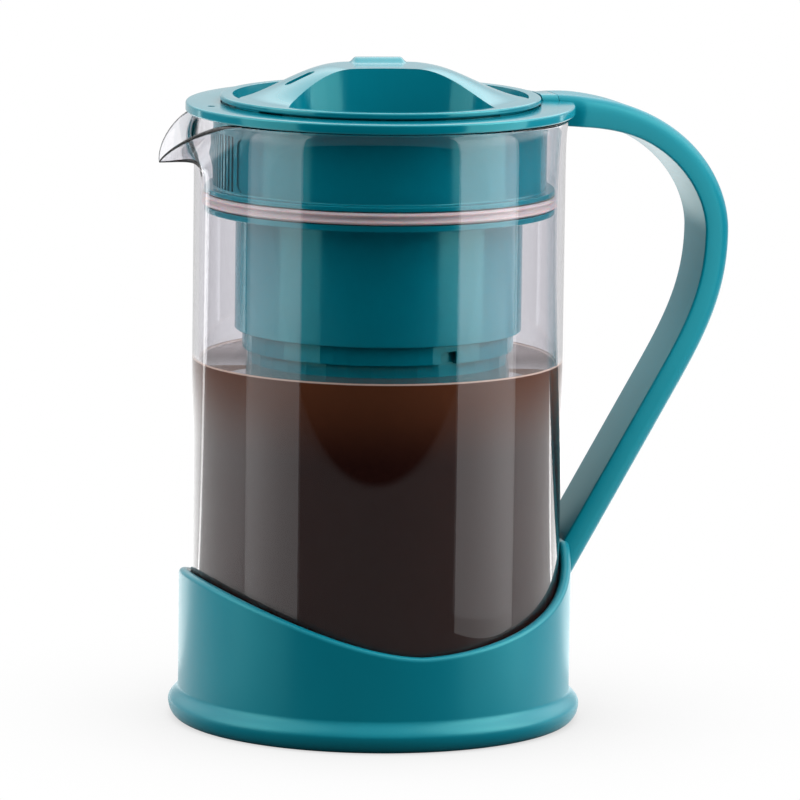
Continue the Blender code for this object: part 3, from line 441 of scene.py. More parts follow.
# %% Beaker
GLASS_FOOT_ROUND = 0.006
RIM_FLARE = 0.0011
RIM_FLARE_HEIGHT = 0.0045
SPOUT_HALF_ANGLE = 27.4
SPOUT_REACH = 0.0126
SPOUT_DROP = 0.0124
SPOUT_ZONE = 0.0200
SPOUT_REACH_POWERS = (1.4, 2.1)
SPOUT_DROP_POWERS = (1.0, 2.1)
SPOUT_CURL_SHARE = 0.15
SPOUT_THIN_SHARE = 0.65
WALL_PULL_SHARE = 0.6
SPOUT_PULL_SHARE = 1.1
GLASS_WALL_STEPS = 24
CREST_STEPS = 8
FOOT_ROUND_STEPS = 10


def spout_share(degrees, powers):
    """1 at the middle of the spout, which points to 180 degrees, easing to 0 beside it."""
    away = min(1.0, abs(degrees % 360 - 180) / SPOUT_HALF_ANGLE)
    return (1 - away ** powers[0]) ** powers[1]


def glass_section(degrees):
    """The beaker's closed section at one angle."""
    share = spout_share(degrees, SPOUT_REACH_POWERS)
    lip = RIM_TOP - SPOUT_DROP * spout_share(degrees, SPOUT_DROP_POWERS) - GLASS_WALL / 2
    reach = SPOUT_REACH * share
    start = Vector((GLASS_RADIUS, RIM_TOP - SPOUT_ZONE))
    pull = WALL_PULL_SHARE + (SPOUT_PULL_SHARE - WALL_PULL_SHARE) * share
    first_pull = Vector((GLASS_RADIUS, start.y + (lip - start.y) * pull))
    second_pull = Vector((GLASS_RADIUS + reach * SPOUT_CURL_SHARE, lip - RIM_FLARE_HEIGHT * (1 - share) / 2))
    end = Vector((GLASS_RADIUS + RIM_FLARE + reach - GLASS_WALL / 2 * share, lip))
    outside = bezier(start, first_pull, second_pull, end, GLASS_WALL_STEPS) + [end]
    inside = []
    for index, point in enumerate(outside):
        along = outside[min(index + 1, len(outside) - 1)] - outside[max(index - 1, 0)]
        along = Vector((0, 1)) if index == 0 else along.normalized()
        thin = 1 - SPOUT_THIN_SHARE * share * smooth_step(2 * index / len(outside) - 1)
        inside.append(point + Vector((-along.y, along.x)) * GLASS_WALL * thin)
    middle = (outside[-1] + inside[-1]) / 2
    crest = [middle + Matrix.Rotation(math.pi * step / CREST_STEPS, 2) @ (outside[-1] - middle)
             for step in range(1, CREST_STEPS)]
    foot = rounded([(GLASS_RADIUS, start.y, 0), (GLASS_RADIUS, GLASS_BOTTOM, GLASS_FOOT_ROUND),
                    (0, GLASS_BOTTOM, 0)], closed=False, steps=FOOT_ROUND_STEPS)
    bore = GLASS_RADIUS - GLASS_WALL
    floor = rounded([(bore, start.y, 0), (bore, GLASS_BOTTOM + GLASS_FLOOR, GLASS_FOOT_ROUND - GLASS_WALL),
                     (0, GLASS_BOTTOM + GLASS_FLOOR, 0)], closed=False, steps=FOOT_ROUND_STEPS)
    section = foot[-2:0:-1] + outside + crest + inside[::-1] + floor[1:-1]
    return [(*polar(point.x, degrees), point.y) for point in section]


print("spout section points:", len(glass_section(180)))

# %% [markdown]
# The sections stand close together across the spout and further apart round the rest.

# %% Beaker's skin
SPOUT_STEPS = 72
WALL_STEPS = 216
spout_angles = [180 + SPOUT_HALF_ANGLE * (2 * step / SPOUT_STEPS - 1) for step in range(SPOUT_STEPS)]
free_angle = 360 - 2 * SPOUT_HALF_ANGLE
wall_angles = [180 + SPOUT_HALF_ANGLE + free_angle * step / WALL_STEPS for step in range(WALL_STEPS)]
beaker = columns("beaker", [glass_section(degrees) for degrees in wall_angles + [a + 360 for a in spout_angles]],
                 GLASS_BOTTOM, GLASS_BOTTOM + GLASS_FLOOR)
wear(beaker, glass)
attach(beaker, "holder")
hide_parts("glass_carafe")
print("beaker faces:", len(beaker.data.polygons))

# %% [markdown]
# The brew is a solid of its own. Its side reaches a hair into the glass, because a liquid
# that wets the wall looks as wide as the beaker. Its surface climbs a little at the wall.

# %% Coffee
WETTED = 0.0003
MENISCUS = 0.0006
coffee_radius = GLASS_RADIUS - GLASS_WALL + WETTED
coffee_floor = GLASS_BOTTOM + GLASS_FLOOR - WETTED
coffee = turned("coffee", [
    (0, COFFEE_LEVEL, 0), (coffee_radius - 2 * MENISCUS, COFFEE_LEVEL, 0),
    (coffee_radius, COFFEE_LEVEL + MENISCUS, 0),
    (coffee_radius, coffee_floor, GLASS_FOOT_ROUND - GLASS_WALL), (0, coffee_floor, 0)])
wear(coffee, brew)
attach(coffee, "holder")
print("coffee level in mm:", COFFEE_LEVEL * 1000)

# %% [markdown]
# ## Holder
# The holder is one moulding: a cup that the beaker stands in, and a strap that leaves the
# cup, loops out for four fingers and hooks over the beaker's rim. The cup's rim is a wave.
# It stands high under the spout, where the beaker tips when it pours, dips at the sides and
# climbs to the strap's root.
#
# The cup is skinned from sections round the axis like the beaker, because its rim height
# is a function of the angle.

# %% Holder's cup
CUP_BORE = GLASS_RADIUS + 0.0004
CUP_RADIUS = CUP_BORE + 0.0031
CUP_FLOOR = 0.004
CUP_LOW_HEIGHT = 0.0285
CUP_FRONT_HEIGHT = 0.046
CUP_BACK_RISE = 0.020
CUP_SWEEP = 0.0045
CUP_LOW_ANGLE = 92.0
CUP_FRONT_POWER = 0.85
CUP_BACK_POWER = 1.6
CUP_SWEEP_POWER = 5.0
CUP_RIM_ROUND_SHARE = 0.46
FOOT_RADIUS = CUP_RADIUS + 0.0030
FOOT_HEIGHT = 0.0098
FOOT_BULGE_HEIGHT = 0.0049
FOOT_STEPS = 12
FOOT_FLAT_RADIUS = FOOT_RADIUS - 0.0035
FLOOR_ROUND = 0.0012
UNDERSIDE_RECESS = 0.0008
UNDERSIDE_BUTTON_RADIUS = 0.012
UNDERSIDE_RIM_WIDTH = 0.006
HANDLE_WIDTH = 0.0215
HANDLE_EDGE_SHARE = 1 - math.degrees(math.asin(HANDLE_WIDTH / 2 / CUP_RADIUS)) / CUP_LOW_ANGLE


def cup_rim_height(degrees):
    """The wave of the cup's rim: low at the sides, high at the spout and the handle."""
    angle = abs((degrees + 180) % 360 - 180)
    if angle >= CUP_LOW_ANGLE:
        share = ((angle - CUP_LOW_ANGLE) / (180 - CUP_LOW_ANGLE)) ** CUP_FRONT_POWER
        return CUP_LOW_HEIGHT + (CUP_FRONT_HEIGHT - CUP_LOW_HEIGHT) * (1 - math.cos(math.pi * share)) / 2
    share = min(1.0, (CUP_LOW_ANGLE - angle) / CUP_LOW_ANGLE / HANDLE_EDGE_SHARE)
    return CUP_LOW_HEIGHT + CUP_BACK_RISE * share ** CUP_BACK_POWER + CUP_SWEEP * share ** CUP_SWEEP_POWER


def foot_bead():
    """The bead round the foot: a quarter of an ellipse below, an S-curve up to the wall above."""
    under = [math.pi / 2 * step / FOOT_STEPS for step in range(FOOT_STEPS + 1)]
    bead = [(FOOT_FLAT_RADIUS + (FOOT_RADIUS - FOOT_FLAT_RADIUS) * math.sin(angle),
             FOOT_BULGE_HEIGHT * (1 - math.cos(angle)), 0) for angle in under]
    for step in range(1, FOOT_STEPS + 1):
        share = step / FOOT_STEPS
        bead.append((FOOT_RADIUS - (FOOT_RADIUS - CUP_RADIUS) * smooth_step(share),
                     FOOT_BULGE_HEIGHT + (FOOT_HEIGHT - FOOT_BULGE_HEIGHT) * share, 0))
    return bead


def cup_section(degrees):
    """The cup's section at one angle, from the underside round to the floor."""
    rim = cup_rim_height(degrees)
    soft = (CUP_RADIUS - CUP_BORE) * CUP_RIM_ROUND_SHARE
    corners = [(UNDERSIDE_BUTTON_RADIUS, 0, 0),
               (UNDERSIDE_BUTTON_RADIUS + UNDERSIDE_RECESS, UNDERSIDE_RECESS, 0),
               (FOOT_FLAT_RADIUS - UNDERSIDE_RIM_WIDTH - UNDERSIDE_RECESS, UNDERSIDE_RECESS, 0),
               (FOOT_FLAT_RADIUS - UNDERSIDE_RIM_WIDTH, 0, 0),
               *foot_bead(),
               (CUP_RADIUS, rim, soft),
               (CUP_BORE, rim, soft),
               (CUP_BORE, CUP_FLOOR, FLOOR_ROUND),
               (0, CUP_FLOOR, 0)]
    return [(*polar(point.x, degrees), point.y) for point in rounded(corners, closed=False)[:-1]]


CUP_STEPS = 240
holder = columns("holder", [cup_section(360 * step / CUP_STEPS) for step in range(CUP_STEPS)], 0, CUP_FLOOR)
print("cup rim in mm:", [round(cup_rim_height(degrees) * 1000, 1) for degrees in (0, 90, 180)])

# %% [markdown]
# The strap's line is drawn in the plane of the handle. Two cubic curves meet at the point
# that reaches furthest out, where both run straight down, so the join doesn't show, and a
# straight line leads to the root.

# %% Strap's line
HANDLE_THICKNESS = 0.0080
HANDLE_REACH = GLASS_RADIUS + 0.0533
HANDLE_CROWN_HEIGHT = base_high.z
HANDLE_REACH_HEIGHT = HANDLE_CROWN_HEIGHT - 0.0428
HANDLE_BEND_REACH = GLASS_RADIUS + 0.0372
HANDLE_BEND_HEIGHT = 0.0988
HANDLE_ROOT_HEIGHT = 0.0351
HANDLE_TOP_SLOPE = 1.6
HANDLE_CROWN_PULL = 0.0396
HANDLE_GRIP_PULL_UP = 0.0169
HANDLE_GRIP_PULL_DOWN = 0.0193
HANDLE_BEND_PULL = 0.0181
HANDLE_INNER_ROUND = 0.0008
HANDLE_OUTER_ROUND = 0.0034
HANDLE_SIDE_BULGE = 0.0006
HOOK_INNER = GLASS_RADIUS - 0.0017
HOOK_WIDTH = 0.0165
HOOK_TAPER_LENGTH = 0.0075
HOOK_EXTRA_THICKNESS = 0.0014
HOOK_THIN_LENGTH = 0.035
HANDLE_STEPS = 40
hook = Vector((HOOK_INNER, HANDLE_CROWN_HEIGHT))
grip = Vector((HANDLE_REACH, HANDLE_REACH_HEIGHT))
bend = Vector((HANDLE_BEND_REACH, HANDLE_BEND_HEIGHT))
root = Vector((GLASS_RADIUS, HANDLE_ROOT_HEIGHT))
down = (root - bend).normalized()
crown_slope = math.radians(HANDLE_TOP_SLOPE)
crown_pull = hook + Vector((math.cos(crown_slope), -math.sin(crown_slope))) * HANDLE_CROWN_PULL
handle_line = bezier(hook, crown_pull, grip + Vector((0, HANDLE_GRIP_PULL_UP)), grip, HANDLE_STEPS * 2)
handle_line += bezier(grip, grip - Vector((0, HANDLE_GRIP_PULL_DOWN)), bend - down * HANDLE_BEND_PULL, bend,
                      HANDLE_STEPS)
handle_line += [bend + (root - bend) * step / HANDLE_STEPS for step in range(HANDLE_STEPS + 1)]
print("strap line points:", len(handle_line))

# %% [markdown]
# The strap's section is a soft D: flat on the side of the fingers, round on the outside.
# Near the hook it gets narrower to pass the lid's notch and thicker to carry the load.
# Then the beaker's room is cut from the strap, and strap and cup become one solid, as the
# mould would make them.

# %% Strap
HOOK_CLEARANCE = 0.0004


def strap_ring(index):
    """The strap's D section at one point of its line."""
    point = handle_line[index]
    along = (handle_line[min(index + 1, len(handle_line) - 1)] - handle_line[max(index - 1, 0)]).normalized()
    inward = Vector((along.y, -along.x))
    width, thickness = HANDLE_WIDTH, HANDLE_THICKNESS
    if point.y > HANDLE_REACH_HEIGHT:
        width = HOOK_WIDTH + (HANDLE_WIDTH - HOOK_WIDTH) * min(1.0, (point.x - HOOK_INNER) / HOOK_TAPER_LENGTH)
        thickness += HOOK_EXTRA_THICKNESS * (1 - smooth_step((point.x - HOOK_INNER) / HOOK_THIN_LENGTH))
    half = width / 2
    section = rounded([(0, -half + HANDLE_SIDE_BULGE, HANDLE_OUTER_ROUND),
                       (0, half - HANDLE_SIDE_BULGE, HANDLE_OUTER_ROUND),
                       (thickness / 2, half, 0),
                       (thickness, half - HANDLE_SIDE_BULGE, HANDLE_INNER_ROUND),
                       (thickness, -half + HANDLE_SIDE_BULGE, HANDLE_INNER_ROUND),
                       (thickness / 2, -half, 0)])
    places = [(point + inward * depth, side) for depth, side in section]
    return [(max(place.x, HOOK_INNER) if index == 0 else place.x, side, place.y) for place, side in places]


strap = swept("strap", [strap_ring(index) for index in range(len(handle_line))])
cup_middle = (CUP_BORE + CUP_RADIUS) / 2
beaker_room = prism("beaker room", [polar(cup_middle, 360 * i / CUP_STEPS) for i in range(CUP_STEPS)],
                    -CUTTER_REACH, HANDLE_BEND_HEIGHT)
bead_inner, bead_outer = HOOK_INNER - CUTTER_REACH, GLASS_RADIUS + RIM_FLARE + HOOK_CLEARANCE
bead_low, bead_high = RIM_TOP - SPOUT_ZONE, RIM_TOP + HOOK_CLEARANCE
bead_room = turned("bead room", [(bead_outer, bead_high, 0), (bead_outer, bead_low, 0),
                                 (bead_inner, bead_low, 0), (bead_inner, bead_high, 0)])
carve(strap, [beaker_room, bead_room])
carve(holder, [strap], "UNION")
polish(holder)
wear(holder, holder_plastic)
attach(holder, "holder")
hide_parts("base_with_handle")
print("holder faces:", len(holder.data.polygons))

# %% [markdown]
# ## Lid
# The lid is a plug: a top ring that rests on the glass, a skirt that hangs in it, two
# flanges that hold the gasket between them, and a collar that carries the filter. All of
# that is one turned outline. What breaks its symmetry is cut or joined afterwards: the tab
# that fills the gap between the ring and the hook, the notch that the hook sits in, the
# grille of pouring slots behind the spout, and a shallow panel on both sides of it.

# %% Lid's body
RING_RADIUS = GLASS_RADIUS + 0.0027
RING_THICKNESS = 0.0029
LID_SEAT = 0.0004
RING_BOTTOM = RIM_TOP + LID_SEAT
RING_TOP = RING_BOTTOM + RING_THICKNESS
GLASS_BORE = GLASS_RADIUS - GLASS_WALL
SKIRT_RADIUS = GLASS_BORE - 0.0039
SKIRT_WALL = 0.0022
SKIRT_BORE = SKIRT_RADIUS - SKIRT_WALL
FLANGE_RADIUS = GLASS_BORE - 0.0014
FLANGE_TOP = RING_BOTTOM - 0.0221
GASKET_TOP = FLANGE_TOP - 0.0015
GASKET_BOTTOM = GASKET_TOP - 0.0041
LEDGE_BOTTOM = GASKET_BOTTOM - 0.0018
LEDGE_TOP = LEDGE_BOTTOM + 0.0022
COLLAR_RADIUS = GLASS_BORE - 0.0109
COLLAR_BORE = COLLAR_RADIUS - 0.0020
COLLAR_BOTTOM = lid_low.z
EDGE = 0.0006
SLOT_EDGE = 0.0003
lid = turned("lid", [
    (SKIRT_BORE, RING_TOP, EDGE / 2), (RING_RADIUS, RING_TOP, EDGE), (RING_RADIUS, RING_BOTTOM, EDGE),
    (SKIRT_RADIUS, RING_BOTTOM, EDGE), (SKIRT_RADIUS, FLANGE_TOP, EDGE),
    (FLANGE_RADIUS, FLANGE_TOP, SLOT_EDGE), (FLANGE_RADIUS, GASKET_TOP, SLOT_EDGE), (SKIRT_RADIUS, GASKET_TOP, 0),
    (SKIRT_RADIUS, GASKET_BOTTOM, 0), (FLANGE_RADIUS, GASKET_BOTTOM, SLOT_EDGE),
    (FLANGE_RADIUS, LEDGE_BOTTOM, SLOT_EDGE), (COLLAR_RADIUS, LEDGE_BOTTOM, EDGE),
    (COLLAR_RADIUS, COLLAR_BOTTOM, SLOT_EDGE), (COLLAR_BORE, COLLAR_BOTTOM, SLOT_EDGE),
    (COLLAR_BORE, LEDGE_TOP, 0), (SKIRT_BORE, LEDGE_TOP, 0)])
print("lid height in mm:", round((RING_TOP - COLLAR_BOTTOM) * 1000, 1))

# %% [markdown]
# The tab has the hook's section, so that the handle seems to run on into the lid. The
# notch follows the hook's taper with a hair of clearance all round.

# %% Lid's tab and notch
LID_TAB_INNER = RING_RADIUS - 0.0093
LID_TAB_WIDTH = 0.0135
NOTCH_CLEARANCE = 0.0004


def tab_outline(inner, outer, inner_width, outer_width):
    """A tapered tab towards the handle."""
    return [(inner, -inner_width / 2), (outer, -outer_width / 2), (outer, outer_width / 2), (inner, inner_width / 2)]


notch_reach = RING_RADIUS + CUTTER_REACH
notch_width = HOOK_WIDTH + (HANDLE_WIDTH - HOOK_WIDTH) * min(1.0, (notch_reach - HOOK_INNER) / HOOK_TAPER_LENGTH)
tab_rings = []
for reach, width in ((LID_TAB_INNER, LID_TAB_WIDTH), (HOOK_INNER - NOTCH_CLEARANCE / 2, HOOK_WIDTH)):
    low, half = RING_TOP - RING_THICKNESS / 2, width / 2
    section = rounded([(-half, low, 0), (half, low, 0), (half, HANDLE_CROWN_HEIGHT, HANDLE_OUTER_ROUND),
                       (-half, HANDLE_CROWN_HEIGHT, HANDLE_OUTER_ROUND)])
    tab_rings.append([(reach, point.x, point.y) for point in section])
tab = swept("tab", tab_rings)
carve(lid, [tab], "UNION")
notch = prism("notch", tab_outline(HOOK_INNER - NOTCH_CLEARANCE / 2, notch_reach,
                                   HOOK_WIDTH + 2 * NOTCH_CLEARANCE, notch_width + 2 * NOTCH_CLEARANCE),
              RING_BOTTOM - CUTTER_REACH, HANDLE_CROWN_HEIGHT + CUTTER_REACH)
print("notch width in mm:", round((notch_width + 2 * NOTCH_CLEARANCE) * 1000, 1))

# %% [markdown]
# The slots are cut right through the skirt, because the brew flows through them when the
# knob opens the shutter behind. They are plain boxes in one mesh, turned about the axis.

# %% Grille
GRILLE_HALF_ANGLE = 13.0
GRILLE_SLOTS = 11
GRILLE_SLOT_WIDTH = 0.0011
GRILLE_HEIGHT = 0.0165
GRILLE_TOP = RING_BOTTOM - 0.0050
slots = bmesh.new()
for index in range(GRILLE_SLOTS):
    angle = 180 + GRILLE_HALF_ANGLE * (2 * index / (GRILLE_SLOTS - 1) - 1)
    place = (Matrix.Rotation(math.radians(angle), 4, "Z")
             @ Matrix.Translation((SKIRT_RADIUS - SKIRT_WALL / 2, 0, GRILLE_TOP - GRILLE_HEIGHT / 2))
             @ Matrix.Diagonal((SKIRT_WALL * 2, GRILLE_SLOT_WIDTH, GRILLE_HEIGHT, 1)))
    bmesh.ops.create_cube(slots, size=1, matrix=place)
grille = settle("grille slots", slots)
print("grille slots:", GRILLE_SLOTS)

# %% [markdown]
# The panels beside the grille are only half a millimetre deep. Their ends are rounded by
# drawing the height in towards both ends along a circle. The last mark is a shallow dimple
# in the ring over the spout.

# %% Panels, dimple and cut
PANEL_START = 16.0
PANEL_END = 44.0
PANEL_DEPTH = 0.0005
PANEL_ROUND = 0.0030
PANEL_STEPS = 40


def side_panel(name, side):
    """A shallow recess beside the grille, with rounded corners."""
    inner = SKIRT_RADIUS - PANEL_DEPTH
    start, end = inner * math.radians(PANEL_START), inner * math.radians(PANEL_END)
    rings = []
    for step in range(PANEL_STEPS + 1):
        arc = start + (end - start) * (1 - math.cos(math.pi * step / PANEL_STEPS)) / 2
        near_end = max(0.0, PANEL_ROUND - min(arc - start, end - arc))
        inset = PANEL_ROUND - math.sqrt(max(PANEL_ROUND ** 2 - near_end ** 2, 0))
        angle = 180 + side * math.degrees(arc / inner)
        low, high = GRILLE_TOP - GRILLE_HEIGHT + inset, GRILLE_TOP - inset
        near, out = polar(inner, angle), polar(SKIRT_RADIUS + PANEL_DEPTH, angle)
        rings.append([(*near, low), (*out, low), (*out, high), (*near, high)])
    return swept(name, rings)


DOT_RADIUS = 0.0012
DOT_DEPTH = 0.0004
DOT_INSET = 0.0057
DOT_STEPS = 32
dot = turned("dot", [(0, RING_TOP + DOT_DEPTH, 0), (DOT_RADIUS, RING_TOP + DOT_DEPTH, 0),
                     (DOT_RADIUS, RING_TOP - DOT_DEPTH, 0), (0, RING_TOP - DOT_DEPTH, 0)], DOT_STEPS)
dot.location = (DOT_INSET - RING_RADIUS, 0, 0)
carve(lid, [notch, grille, side_panel("left panel", 1), side_panel("right panel", -1), dot])
polish(lid)
wear(lid, lid_plastic)
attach(lid, "lid")
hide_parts("lid_body")
print("lid faces:", len(lid.data.polygons))

# %% [markdown]
# ## Gasket
# The gasket is a silicone ring in the slot between the flanges. It has two lips, one at
# each edge: the upper one seals when the lid goes in, the lower one wipes the glass when
# it comes out. One turned outline gives both.

# %% Gasket
GASKET_RADIUS = GLASS_BORE - 0.0003
GASKET_LIP = 0.0007
GASKET_CLEARANCE = 0.0003
gasket_top, gasket_bottom = GASKET_TOP - GASKET_CLEARANCE, GASKET_BOTTOM + GASKET_CLEARANCE
gasket_middle = (gasket_top + gasket_bottom) / 2
gasket_inner = SKIRT_RADIUS + GASKET_CLEARANCE
gasket = turned("gasket", [
    (gasket_inner, gasket_top, 0), (FLANGE_RADIUS, gasket_top, SLOT_EDGE),
    (GASKET_RADIUS, gasket_top - GASKET_LIP, SLOT_EDGE),
    (FLANGE_RADIUS, gasket_middle + GASKET_LIP / 2, SLOT_EDGE),
    (FLANGE_RADIUS, gasket_middle - GASKET_LIP / 2, SLOT_EDGE),
    (GASKET_RADIUS, gasket_bottom + GASKET_LIP, SLOT_EDGE),
    (FLANGE_RADIUS, gasket_bottom, SLOT_EDGE), (gasket_inner, gasket_bottom, 0)])
wear(gasket, silicone)
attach(gasket, "lid")
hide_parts("lid_gasket")
print("gasket height in mm:", round((gasket_top - gasket_bottom) * 1000, 2))

# %% [markdown]
# ## Knob
# The knob is a disc with a low dome. Two pockets are sunk into the dome, and the wall left
# between them is the grip: thumb in one pocket, fingers in the other. A groove in the
# dome points to what the knob is set to, and a low pad marks the back of the grip.
#
# The dome is a height field in rings, so that the pad can be eased into it without a cut.

# %% Knob's dome
DISC_BOTTOM = RING_TOP + 0.0004
DISC_THICKNESS = 0.0018
DISC_TOP = DISC_BOTTOM + DISC_THICKNESS
DISC_RADIUS = SKIRT_BORE + 0.0002
DISC_EDGE = 0.0006
DOME_RADIUS = DISC_RADIUS - 0.0053
DOME_FLAT_RADIUS = 0.0135
DOME_HEIGHT = 0.0090
POCKET_RADIUS = DISC_RADIUS - 0.0037
GRIP_ANGLE = -11.5
FRONT_TIPS, FRONT_CREST = POCKET_RADIUS * -0.729, POCKET_RADIUS * -0.20
BACK_TIPS, BACK_CREST = POCKET_RADIUS * -0.224, POCKET_RADIUS * 0.224
PAD_LENGTH = 0.0175
PAD_HEIGHT = 0.0015
PAD_EASE = 0.0020
PAD_RAMP = (0.0030, 0.0085)


def dome_height(radius):
    """How far the knob's dome stands above its disc."""
    return DOME_HEIGHT * (1 - smooth_step((radius - DOME_FLAT_RADIUS) / (DOME_RADIUS - DOME_FLAT_RADIUS)))


def knob_top(x, y):
    """The dome, with the low pad towards the back of the grip."""
    grip_turn = Matrix.Rotation(math.radians(-GRIP_ANGLE), 2) @ Vector((x, y))
    pad = smooth_step((PAD_LENGTH / 2 - abs(grip_turn.x)) / PAD_EASE)
    pad *= smooth_step((grip_turn.y - PAD_RAMP[0]) / (PAD_RAMP[1] - PAD_RAMP[0]))
    pad *= 1 - smooth_step((grip_turn.y - BACK_CREST - PAD_HEIGHT) / PAD_EASE)
    return DISC_TOP + dome_height(math.hypot(x, y)) + PAD_HEIGHT * pad


print("dome height in mm:", round(dome_height(0) * 1000, 1))

# %% [markdown]
# The blank is skinned from spokes: each runs from the dome's middle to its rim, then round
# the disc's edge and back under it.

# %% Knob's blank
KNOB_STEPS = 240
DOME_RINGS = 70
blank = bmesh.new()
edge_points = rounded([(DOME_RADIUS, DISC_TOP, 0), (DISC_RADIUS, DISC_TOP, DISC_EDGE),
                       (DISC_RADIUS, DISC_BOTTOM, DISC_EDGE), (DISC_RADIUS / 2, DISC_BOTTOM, 0)], closed=False)
centre_top = blank.verts.new((0, 0, knob_top(0, 0)))
centre_bottom = blank.verts.new((0, 0, DISC_BOTTOM))
spokes = []
for step in range(KNOB_STEPS):
    angle = 360 * step / KNOB_STEPS
    spoke = []
    for ring in range(1, DOME_RINGS + 1):
        x, y = polar(DOME_RADIUS * ring / DOME_RINGS, angle)
        spoke.append(blank.verts.new((x, y, knob_top(x, y))))
    spoke += [blank.verts.new((*polar(point.x, angle), point.y)) for point in edge_points[1:]]
    spokes.append(spoke)
for spoke, other in zip(spokes, spokes[1:] + spokes[:1]):
    blank.faces.new((centre_top, spoke[0], other[0]))
    blank.faces.new((centre_bottom, other[-1], spoke[-1]))
    for i in range(len(spoke) - 1):
        blank.faces.new((spoke[i], spoke[i + 1], other[i + 1], other[i]))
knob = settle("knob", blank)
print("blank faces:", len(knob.data.polygons))

# %% [markdown]
# Each pocket is bounded by the disc's circle on one side and by an arch on the other. Its
# outline is used twice, once grown by the wall's thickness as a tub to join and once as it
# is for the hollow.

# %% Knob's pockets
POCKET_DEPTH = 0.0105
POCKET_WALL = 0.0014
POCKET_STEPS = 60


def pocket_outline(tips, crest, side, growth):
    """A finger pocket between the disc's rim and the grip, grown all round for its tub."""
    rim = POCKET_RADIUS + growth
    half_length = math.sqrt(rim * rim - tips * tips)
    first = math.degrees(math.asin(side * tips / rim))
    outline = []
    for step in range(POCKET_STEPS + 1):
        x, y = polar(rim, first + (180 - 2 * first) * step / POCKET_STEPS)
        outline.append((x, side * y))
    for step in range(1, POCKET_STEPS):
        x, y = polar(1, 180 * step / POCKET_STEPS)
        outline.append((-half_length * x, tips + (crest - side * growth - tips) * y))
    return outline


pocket_floor = DISC_TOP - POCKET_DEPTH
pockets = (("front", FRONT_TIPS, FRONT_CREST, -1), ("back", BACK_TIPS, BACK_CREST, 1))
tubs = [prism(f"{label} tub", pocket_outline(tips, crest, side, POCKET_WALL), pocket_floor - POCKET_WALL,
              DISC_BOTTOM + DISC_THICKNESS / 2) for label, tips, crest, side in pockets]
hollows = [prism(f"{label} hollow", pocket_outline(tips, crest, side, 0), pocket_floor,
                 knob_high.z + CUTTER_REACH) for label, tips, crest, side in pockets]
for tool in tubs + hollows:
    tool.rotation_euler.z = math.radians(GRIP_ANGLE)
print("pockets:", ", ".join(label for label, *_ in pockets))

# %% [markdown]
# The pointing groove follows the dome and gets narrower at both ends. A last bevel rounds
# every edge of the knob, as polishing a mould would.

# %% Knob's mark and edges
MARK_INNER = 0.0210
MARK_OUTER = 0.0300
MARK_WIDTH = 0.0034
MARK_DEPTH = 0.0012
MARK_END_SHARE = 0.15
MARK_STEPS = 12
KNOB_EDGE = 0.0007
KNOB_EDGE_STEPS = 3
KNOB_EDGE_ANGLE = 40.0
groove_rings = []
for step in range(MARK_STEPS + 1):
    radius = MARK_INNER + (MARK_OUTER - MARK_INNER) * step / MARK_STEPS
    end_share = min(step, MARK_STEPS - step) / MARK_STEPS * (MARK_OUTER - MARK_INNER) / (MARK_WIDTH / 2)
    half = MARK_WIDTH / 2 * math.sqrt(max(MARK_END_SHARE, 1 - max(0, 1 - end_share) ** 2))
    surface = DISC_TOP + dome_height(radius)
    low, high = surface - MARK_DEPTH, surface + CUTTER_REACH
    groove_rings.append([(-radius, half, low), (-radius, -half, low), (-radius, -half, high), (-radius, half, high)])
groove = swept("groove", groove_rings)
carve(knob, tubs, "UNION")
carve(knob, hollows + [groove])
soften(knob, KNOB_EDGE, KNOB_EDGE_STEPS, KNOB_EDGE_ANGLE)
wear(knob, lid_plastic)
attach(knob, "knob")
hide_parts("knob_cap")
print("knob faces:", len(knob.data.polygons))

# %% [markdown]
# ## Inner pieces
# The shutter and the filter stand in the dark of the lid and in the coffee. Their CAD
# shapes are fine as they are, so they only get their materials: the same polypropylene,
# silicone for the seal and woven steel for the filter's walls.

# %% Inner pieces
for name in ("shutter_sleeve", "filter_top_ring", "filter_cage", "filter_bottom_cap"):
    wear(nodes[name], lid_plastic)
wear(nodes["shutter_seal"], silicone)
for name in ("filter_mesh_sleeve", "filter_mesh_floor"):
    wear(nodes[name], mesh_steel)
print("inner pieces dressed")

# %% [markdown]
# ## Stage
# The jug stands on white with hardly a shadow, yet its glass and its plastic mirror a
# studio that is anything but white: two tall softboxes, a dark room in front, a bright
# sweep behind. So there are two stages in one. A ray that comes straight from the camera,
# or through nothing but clear glass, meets a white floor with a soft contact shadow. Every
# other ray meets the studio.
#
# Two counters tell them apart: how often a ray has bounced, and how many of those bounces
# went through glass. Where both are the same, nothing but clear glass was in its way.

# %% Floor
FLOOR_SIZE = 3.0
floor_mesh = bpy.data.meshes.new("floor")
floor_mesh.from_pydata([(-FLOOR_SIZE, -FLOOR_SIZE, 0), (FLOOR_SIZE, -FLOOR_SIZE, 0),
                        (FLOOR_SIZE, FLOOR_SIZE, 0), (-FLOOR_SIZE, FLOOR_SIZE, 0)], [], [(0, 1, 2, 3)])
floor = bpy.data.objects.new("floor", floor_mesh)
bpy.context.collection.objects.link(floor)


def straight_rays(material):
    """1 for rays that come from the camera with nothing but clear glass in between, else 0."""
    paths = add(material, "ShaderNodeLightPath")
    bounces = add(material, "ShaderNodeMath", {0: paths.outputs["Ray Depth"], 1: paths.outputs["Transmission Depth"]},
                  {"operation": "SUBTRACT"})
    return add(material, "ShaderNodeMath", {0: bounces.outputs["Value"]}, {"operation": "LESS_THAN"},
               {1: 0.5}).outputs["Value"]


def from_to(limits, results):
    """Values of a Map Range node: from these limits to these results."""
    return {"From Min": limits[0], "From Max": limits[1], "To Min": results[0], "To Max": results[1]}


print("floor side in m:", 2 * FLOOR_SIZE)

